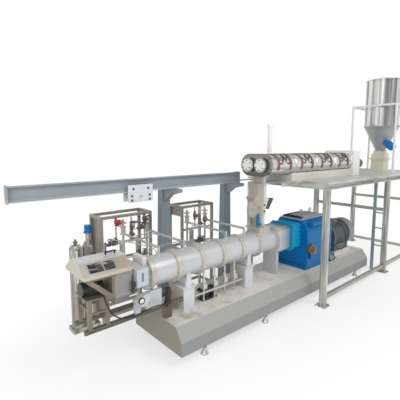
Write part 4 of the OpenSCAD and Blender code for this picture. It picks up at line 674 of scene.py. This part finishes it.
# racks: risers and a bridge between two of them, all in one upright plane
racks = dict(y=933, low=1222, top=1588, risers=(-64, 187, 409, 1420, 1533, 1637), riser=12,
             bridge=(187, 409, 1394), bridgeSize=11)
y = racks["y"]
ends = racks["low"], racks["top"]
parts = [tube([at(x, y, z) for z in ends], racks["riser"] / 1000) for x in racks["risers"]]
left, right, z = racks["bridge"]
parts.append(tube([at(left, y, z), at(right, y, z)], racks["bridgeSize"] / 1000))
addPiece("rackRisers", parts, "stainless")

# their valves: some with a wheel in front, some bare, low ones tilted, one with a flat wheel and a red one
valves = dict(facing=((409, 1533, 60), (1420, 1450, 40)), out=100, upright=((187, 1330), (1533, 1300)),
              low=((-103, 1222), (-180, 1222), (343, 1394), (269, 978), (381, 978), (1480, 978), (1560, 978)),
              lean=(0, -0.6, 0.8), lowOut=52, lowUp=70, lowWheel=34, flat=(187, 1440), flatOut=86, flatUp=80,
              flatStem=9, flatWheel=64, red=(-64, 1541), discOut=62, redOut=96, redWheel=46,
              uprightSize=1.1, lowSize=0.85, flatSize=0.9, redSize=0.8,
              disc=((30, 0), (40, 4), (42, 14), (38, 22), (22, 28)))
bodies, wheels = [], []
for x, z, r in valves["facing"]:
    bodies += valveBody(at(x, y, z), toZ, -toY)
    wheels += handwheel(at(x, y - valves["out"], z), -toY, r)
for x, z in valves["upright"]:
    bodies += valveBody(at(x, y, z), toZ, -toY, valves["uprightSize"])
for x, z in valves["low"]:
    bodies += valveBody(at(x, y, z), toX, valves["lean"], valves["lowSize"])
    wheels += handwheel(at(x, y - valves["lowOut"], z + valves["lowUp"]), valves["lean"], valves["lowWheel"])
x, z = valves["flat"]
stem, top = at(x, y - valves["flatOut"], z), at(x, y - valves["flatOut"], z + valves["flatUp"])
bodies += valveBody(at(x, y, z), toZ, -toY, valves["flatSize"])
bodies.append(tube([stem, top], valves["flatStem"] / 1000))
wheels += handwheel(top, toZ, valves["flatWheel"])
x, z = valves["red"]
bodies += valveBody(at(x, y, z), toZ, -toY, valves["redSize"])
addPiece("rackValves", bodies, "valve")
addPiece("rackWheels", wheels, "black")
disc = turned(valves["disc"], at(x, y - valves["discOut"], z), -toY, 24)
parts = [disc] + handwheel(at(x, y - valves["redOut"], z), -toY, valves["redWheel"])
addPiece("redValve", parts, "red")
dial = dict(place=(1637, 925, 1356), shape=((40, 0), (52, 3), (52, 24), (46, 30), (40, 30), (39, 24)))
addPiece("rackGauge", [turned(dial["shape"], at(*dial["place"]), -toY, 28)], "brass")

# light tubes from the racks' cross pipes into the barrel
lines = dict(radius=7, routes=(
    ((-190, 925, 1230), (-188, 860, 1300), (-150, 620, 1345), (-60, 300, 1350), (10, 90, 1330),
     (38, 44, 1290), (40, 40, 1252)),
    ((230, 925, 1230), (250, 850, 1310), (330, 560, 1372), (410, 240, 1368), (440, 70, 1335),
     (448, 38, 1290), (448, 36, 1252)),
    ((1330, 925, 1230), (1322, 850, 1300), (1290, 560, 1350), (1262, 240, 1352), (1252, 70, 1330),
     (1250, 38, 1290), (1250, 36, 1252)),
    ((330, 925, 985), (420, 820, 1060), (620, 560, 1180), (800, 300, 1240), (850, 190, 1205),
     (852, 150, 1190)),
))
parts = [tube(bend(route, 6), lines["radius"] / 1000, 10) for route in lines["routes"]]
addPiece("barrelTubes", parts, "stainless")

# tanks: valves on the fronts, a neck on the outer one and a pale sight tube that leaves its front and returns
tank = dict(x=-585, y=1140, r=85, top=1250, valves=((-585, 1090), (-400, 1120), (-400, 1000)), wheelOut=100,
            wheel=36, sight=(560, 1170), out=44, side=30, sink=14, sightSize=11, bend=(12, 14),
            neck=((20, -30), (20, 30), (34, 34), (34, 48), (16, 52), (12, 84)),
            valve=((13, -14), (13, 22), (24, 24), (24, 34), (15, 40), (20, 62), (12, 76), (7, 80), (7, 100)))
front = tank["y"] - tank["r"]
parts = [turned(tank["neck"], at(tank["x"], tank["y"], tank["top"]), toZ, 20)]
wheels = []
for x, z in tank["valves"]:
    parts.append(turned(tank["valve"], at(x, front, z), -toY, 20))
    wheels += handwheel(at(x, front - tank["wheelOut"], z), -toY, tank["wheel"])
addPiece("tankValves", parts, "valve")
addPiece("tankWheels", wheels, "black")
low, high = tank["sight"]
x, back, out = tank["x"] - tank["side"], front + tank["sink"], front - tank["out"]
inner, turn = tank["bend"]
route = [(x, back, low), (x, out + inner, low), (x, out, low + turn)]
route += [(x, out, high - turn), (x, out + inner, high), (x, back, high)]
addPiece("tankSight", [tube(bend(route, 6), tank["sightSize"] / 1000)], "white")
print("cutter and racks dressed")

# under the barrel: a small pump on the skid, its body turned along the line, with a base and a delivery pipe
pump = dict(place=(760, -60, 600), low=(690, -120, 478), high=(960, 0, 500), edge=6, feet=(790, 890),
            foot=(498, 552), footWide=90, footThick=30, pipeSize=12,
            pipe=((700, -60, 640), (698, -62, 680), (690, -80, 708), (680, -120, 716), (678, -160, 716)),
            shape=((30, -80), (64, -78), (66, -40), (50, -34), (50, -16), (58, -10), (62, 0), (62, 120),
                   (56, 128), (60, 134), (60, 176), (44, 186)))
y = pump["place"][1]
parts = [turned(pump["shape"], at(*pump["place"]), toX, 28), pad(pump["low"], pump["high"], pump["edge"])]
parts += [strip([at(x, y, z) for z in pump["foot"]], toY, pump["footWide"] / 1000, pump["footThick"] / 1000)
          for x in pump["feet"]]
addPiece("linePump", parts, "black")
addPiece("pumpPipe", [tube(bend(pump["pipe"], 5), pump["pipeSize"] / 1000, 12)], "stainless")

# steps beside the middle front leg of the platform: one stile and three rungs
steps = dict(x=5200, y=-520, top=2038, stile=50, rungs=(546, 922, 1250), rung=15, leg=-706, inner=24)
x, y, wide = steps["x"], steps["y"], steps["stile"] / 1000
parts = [strip([at(x, y, 0), at(x, y, steps["top"])], toX, wide, wide)]
addPiece("stepStile", parts, "post", rounded=False)
ends = steps["leg"], y - steps["inner"]
parts = [tube([at(x, end, z) for end in ends], steps["rung"] / 1000) for z in steps["rungs"]]
addPiece("stepRungs", parts, "stainless")

# oil pump: a dark clamp ring round its foot
clamp = dict(place=(2985, -355.4, 838),
             ring=((76, 0), (92, 2), (92, 16), (88, 20), (76, 20), (75, 10), (76, 0)))
addPiece("pumpRing", [turned(clamp["ring"], at(*clamp["place"]), -toY, 36)], "black")

# chute: two dark bolts on its near face
chute = dict(x=2034, y=-85.2, zs=(1590, 1690), size=15, height=12)
spots = [at(chute["x"], chute["y"], z) for z in chute["zs"]]
addPiece("chuteBolts", [heads(spots, -toY, chute["size"], chute["height"])], "bolt", rounded=False)

# floor: matt and pale, glowing to plain white with the distance from the plant
stage = dict(half=60, spread=(0.19, 0.42, 1.0), near=0.5, far=1.1, glow=0.55)
half = stage["half"]
floor = bpy.data.meshes.new("floor")
corners = [(-half, -half, 0), (half, -half, 0), (half, half, 0), (-half, half, 0)]
floor.from_pydata(corners, [], [(0, 1, 2, 3)])
ground = bpy.data.objects.new("floor", floor)
bpy.context.scene.collection.objects.link(ground)
pale = bpy.data.materials.new("floorPale")
pale.use_nodes = True
tree = pale.node_tree
tree.nodes.clear()
place = put(tree, "ShaderNodeTexCoord").outputs["Object"]
speck = ramp(tree, noise(tree, place, (3, 3, 3)), 0.3, 0.7)
wash = blend(tree, speck, rgb(251, 251, 251), rgb(253, 253, 253))
matt = put(tree, "ShaderNodeBsdfPrincipled", {
    "Base Color": wash, "Roughness": 0.9, "Specular IOR Level": 0.1})
glow = put(tree, "ShaderNodeEmission", {"Color": (1, 1, 1, 1), "Strength": 1.0})
span = put(tree, "ShaderNodeVectorMath", {0: place, 1: stage["spread"]}, operation="MULTIPLY").outputs[0]
far = put(tree, "ShaderNodeVectorMath", {0: span}, operation="LENGTH").outputs["Value"]
share = ramp(tree, far, stage["near"], stage["far"], stage["glow"], 1.0)
top = put(tree, "ShaderNodeMixShader", {0: share, 1: matt.outputs[0], 2: glow.outputs[0]})
put(tree, "ShaderNodeOutputMaterial", {"Surface": top.outputs[0]})
floor.materials.append(pale)

# sky: white to the camera, a soft dome for light, and broad pale and dark fields for what the metal mirrors
studio = dict(horizon=(0.72, 0.73, 0.74, 1), zenith=(1, 1, 1, 1), power=0.66, dark=(0.3, 0.3, 0.31, 1),
              pale=(1, 1, 1, 1), mirrorPower=0.95, fields=(3.52, 3.52, 1.76))
sky = bpy.data.worlds.new("studio")
bpy.context.scene.world = sky
sky.use_nodes = True
tree = sky.node_tree
tree.nodes.clear()
aim = put(tree, "ShaderNodeTexCoord").outputs["Generated"]
high = ramp(tree, coordinate(tree, aim, 2), -0.1, 0.6)
dome = put(tree, "ShaderNodeBackground", {
    "Color": blend(tree, high, studio["horizon"], studio["zenith"]), "Strength": studio["power"]})
field = ramp(tree, noise(tree, aim, studio["fields"]), 0.42, 0.58)
mirror = put(tree, "ShaderNodeBackground", {
    "Color": blend(tree, field, studio["dark"], studio["pale"]), "Strength": studio["mirrorPower"]})
plain = put(tree, "ShaderNodeBackground", {"Color": (1, 1, 1, 1), "Strength": 1.0})
rays = put(tree, "ShaderNodeLightPath").outputs
pick = put(tree, "ShaderNodeMixShader", {0: rays["Is Glossy Ray"], 1: dome.outputs[0], 2: mirror.outputs[0]})
pick = put(tree, "ShaderNodeMixShader", {0: rays["Is Camera Ray"], 1: pick.outputs[0], 2: plain.outputs[0]})
put(tree, "ShaderNodeOutputWorld", {"Surface": pick.outputs[0]})

# two broad lamps, from the front and from the cutter's end
lamps = dict(
    key=dict(place=(1, -8, 10), aim=(0.5, 0, 1), size=6, power=430),
    fill=dict(place=(-9, -5, 5), aim=(-1, 0, 1.2), size=5, power=230),
)
for name, lamp in lamps.items():
    light = bpy.data.lights.new(name, "AREA")
    light.shape = "DISK"
    light.size = lamp["size"]
    light.energy = lamp["power"]
    holder = bpy.data.objects.new(name, light)
    holder.location = lamp["place"]
    u, v, w = square(np.array(lamp["place"]) - np.array(lamp["aim"]))
    holder.rotation_euler = (math.acos(w[2]), 0, math.atan2(w[1], w[0]) + math.pi / 2)
    bpy.context.scene.collection.objects.link(holder)
bpy.context.scene.view_settings.view_transform = "Standard"
print("floor, sky and lamps set")
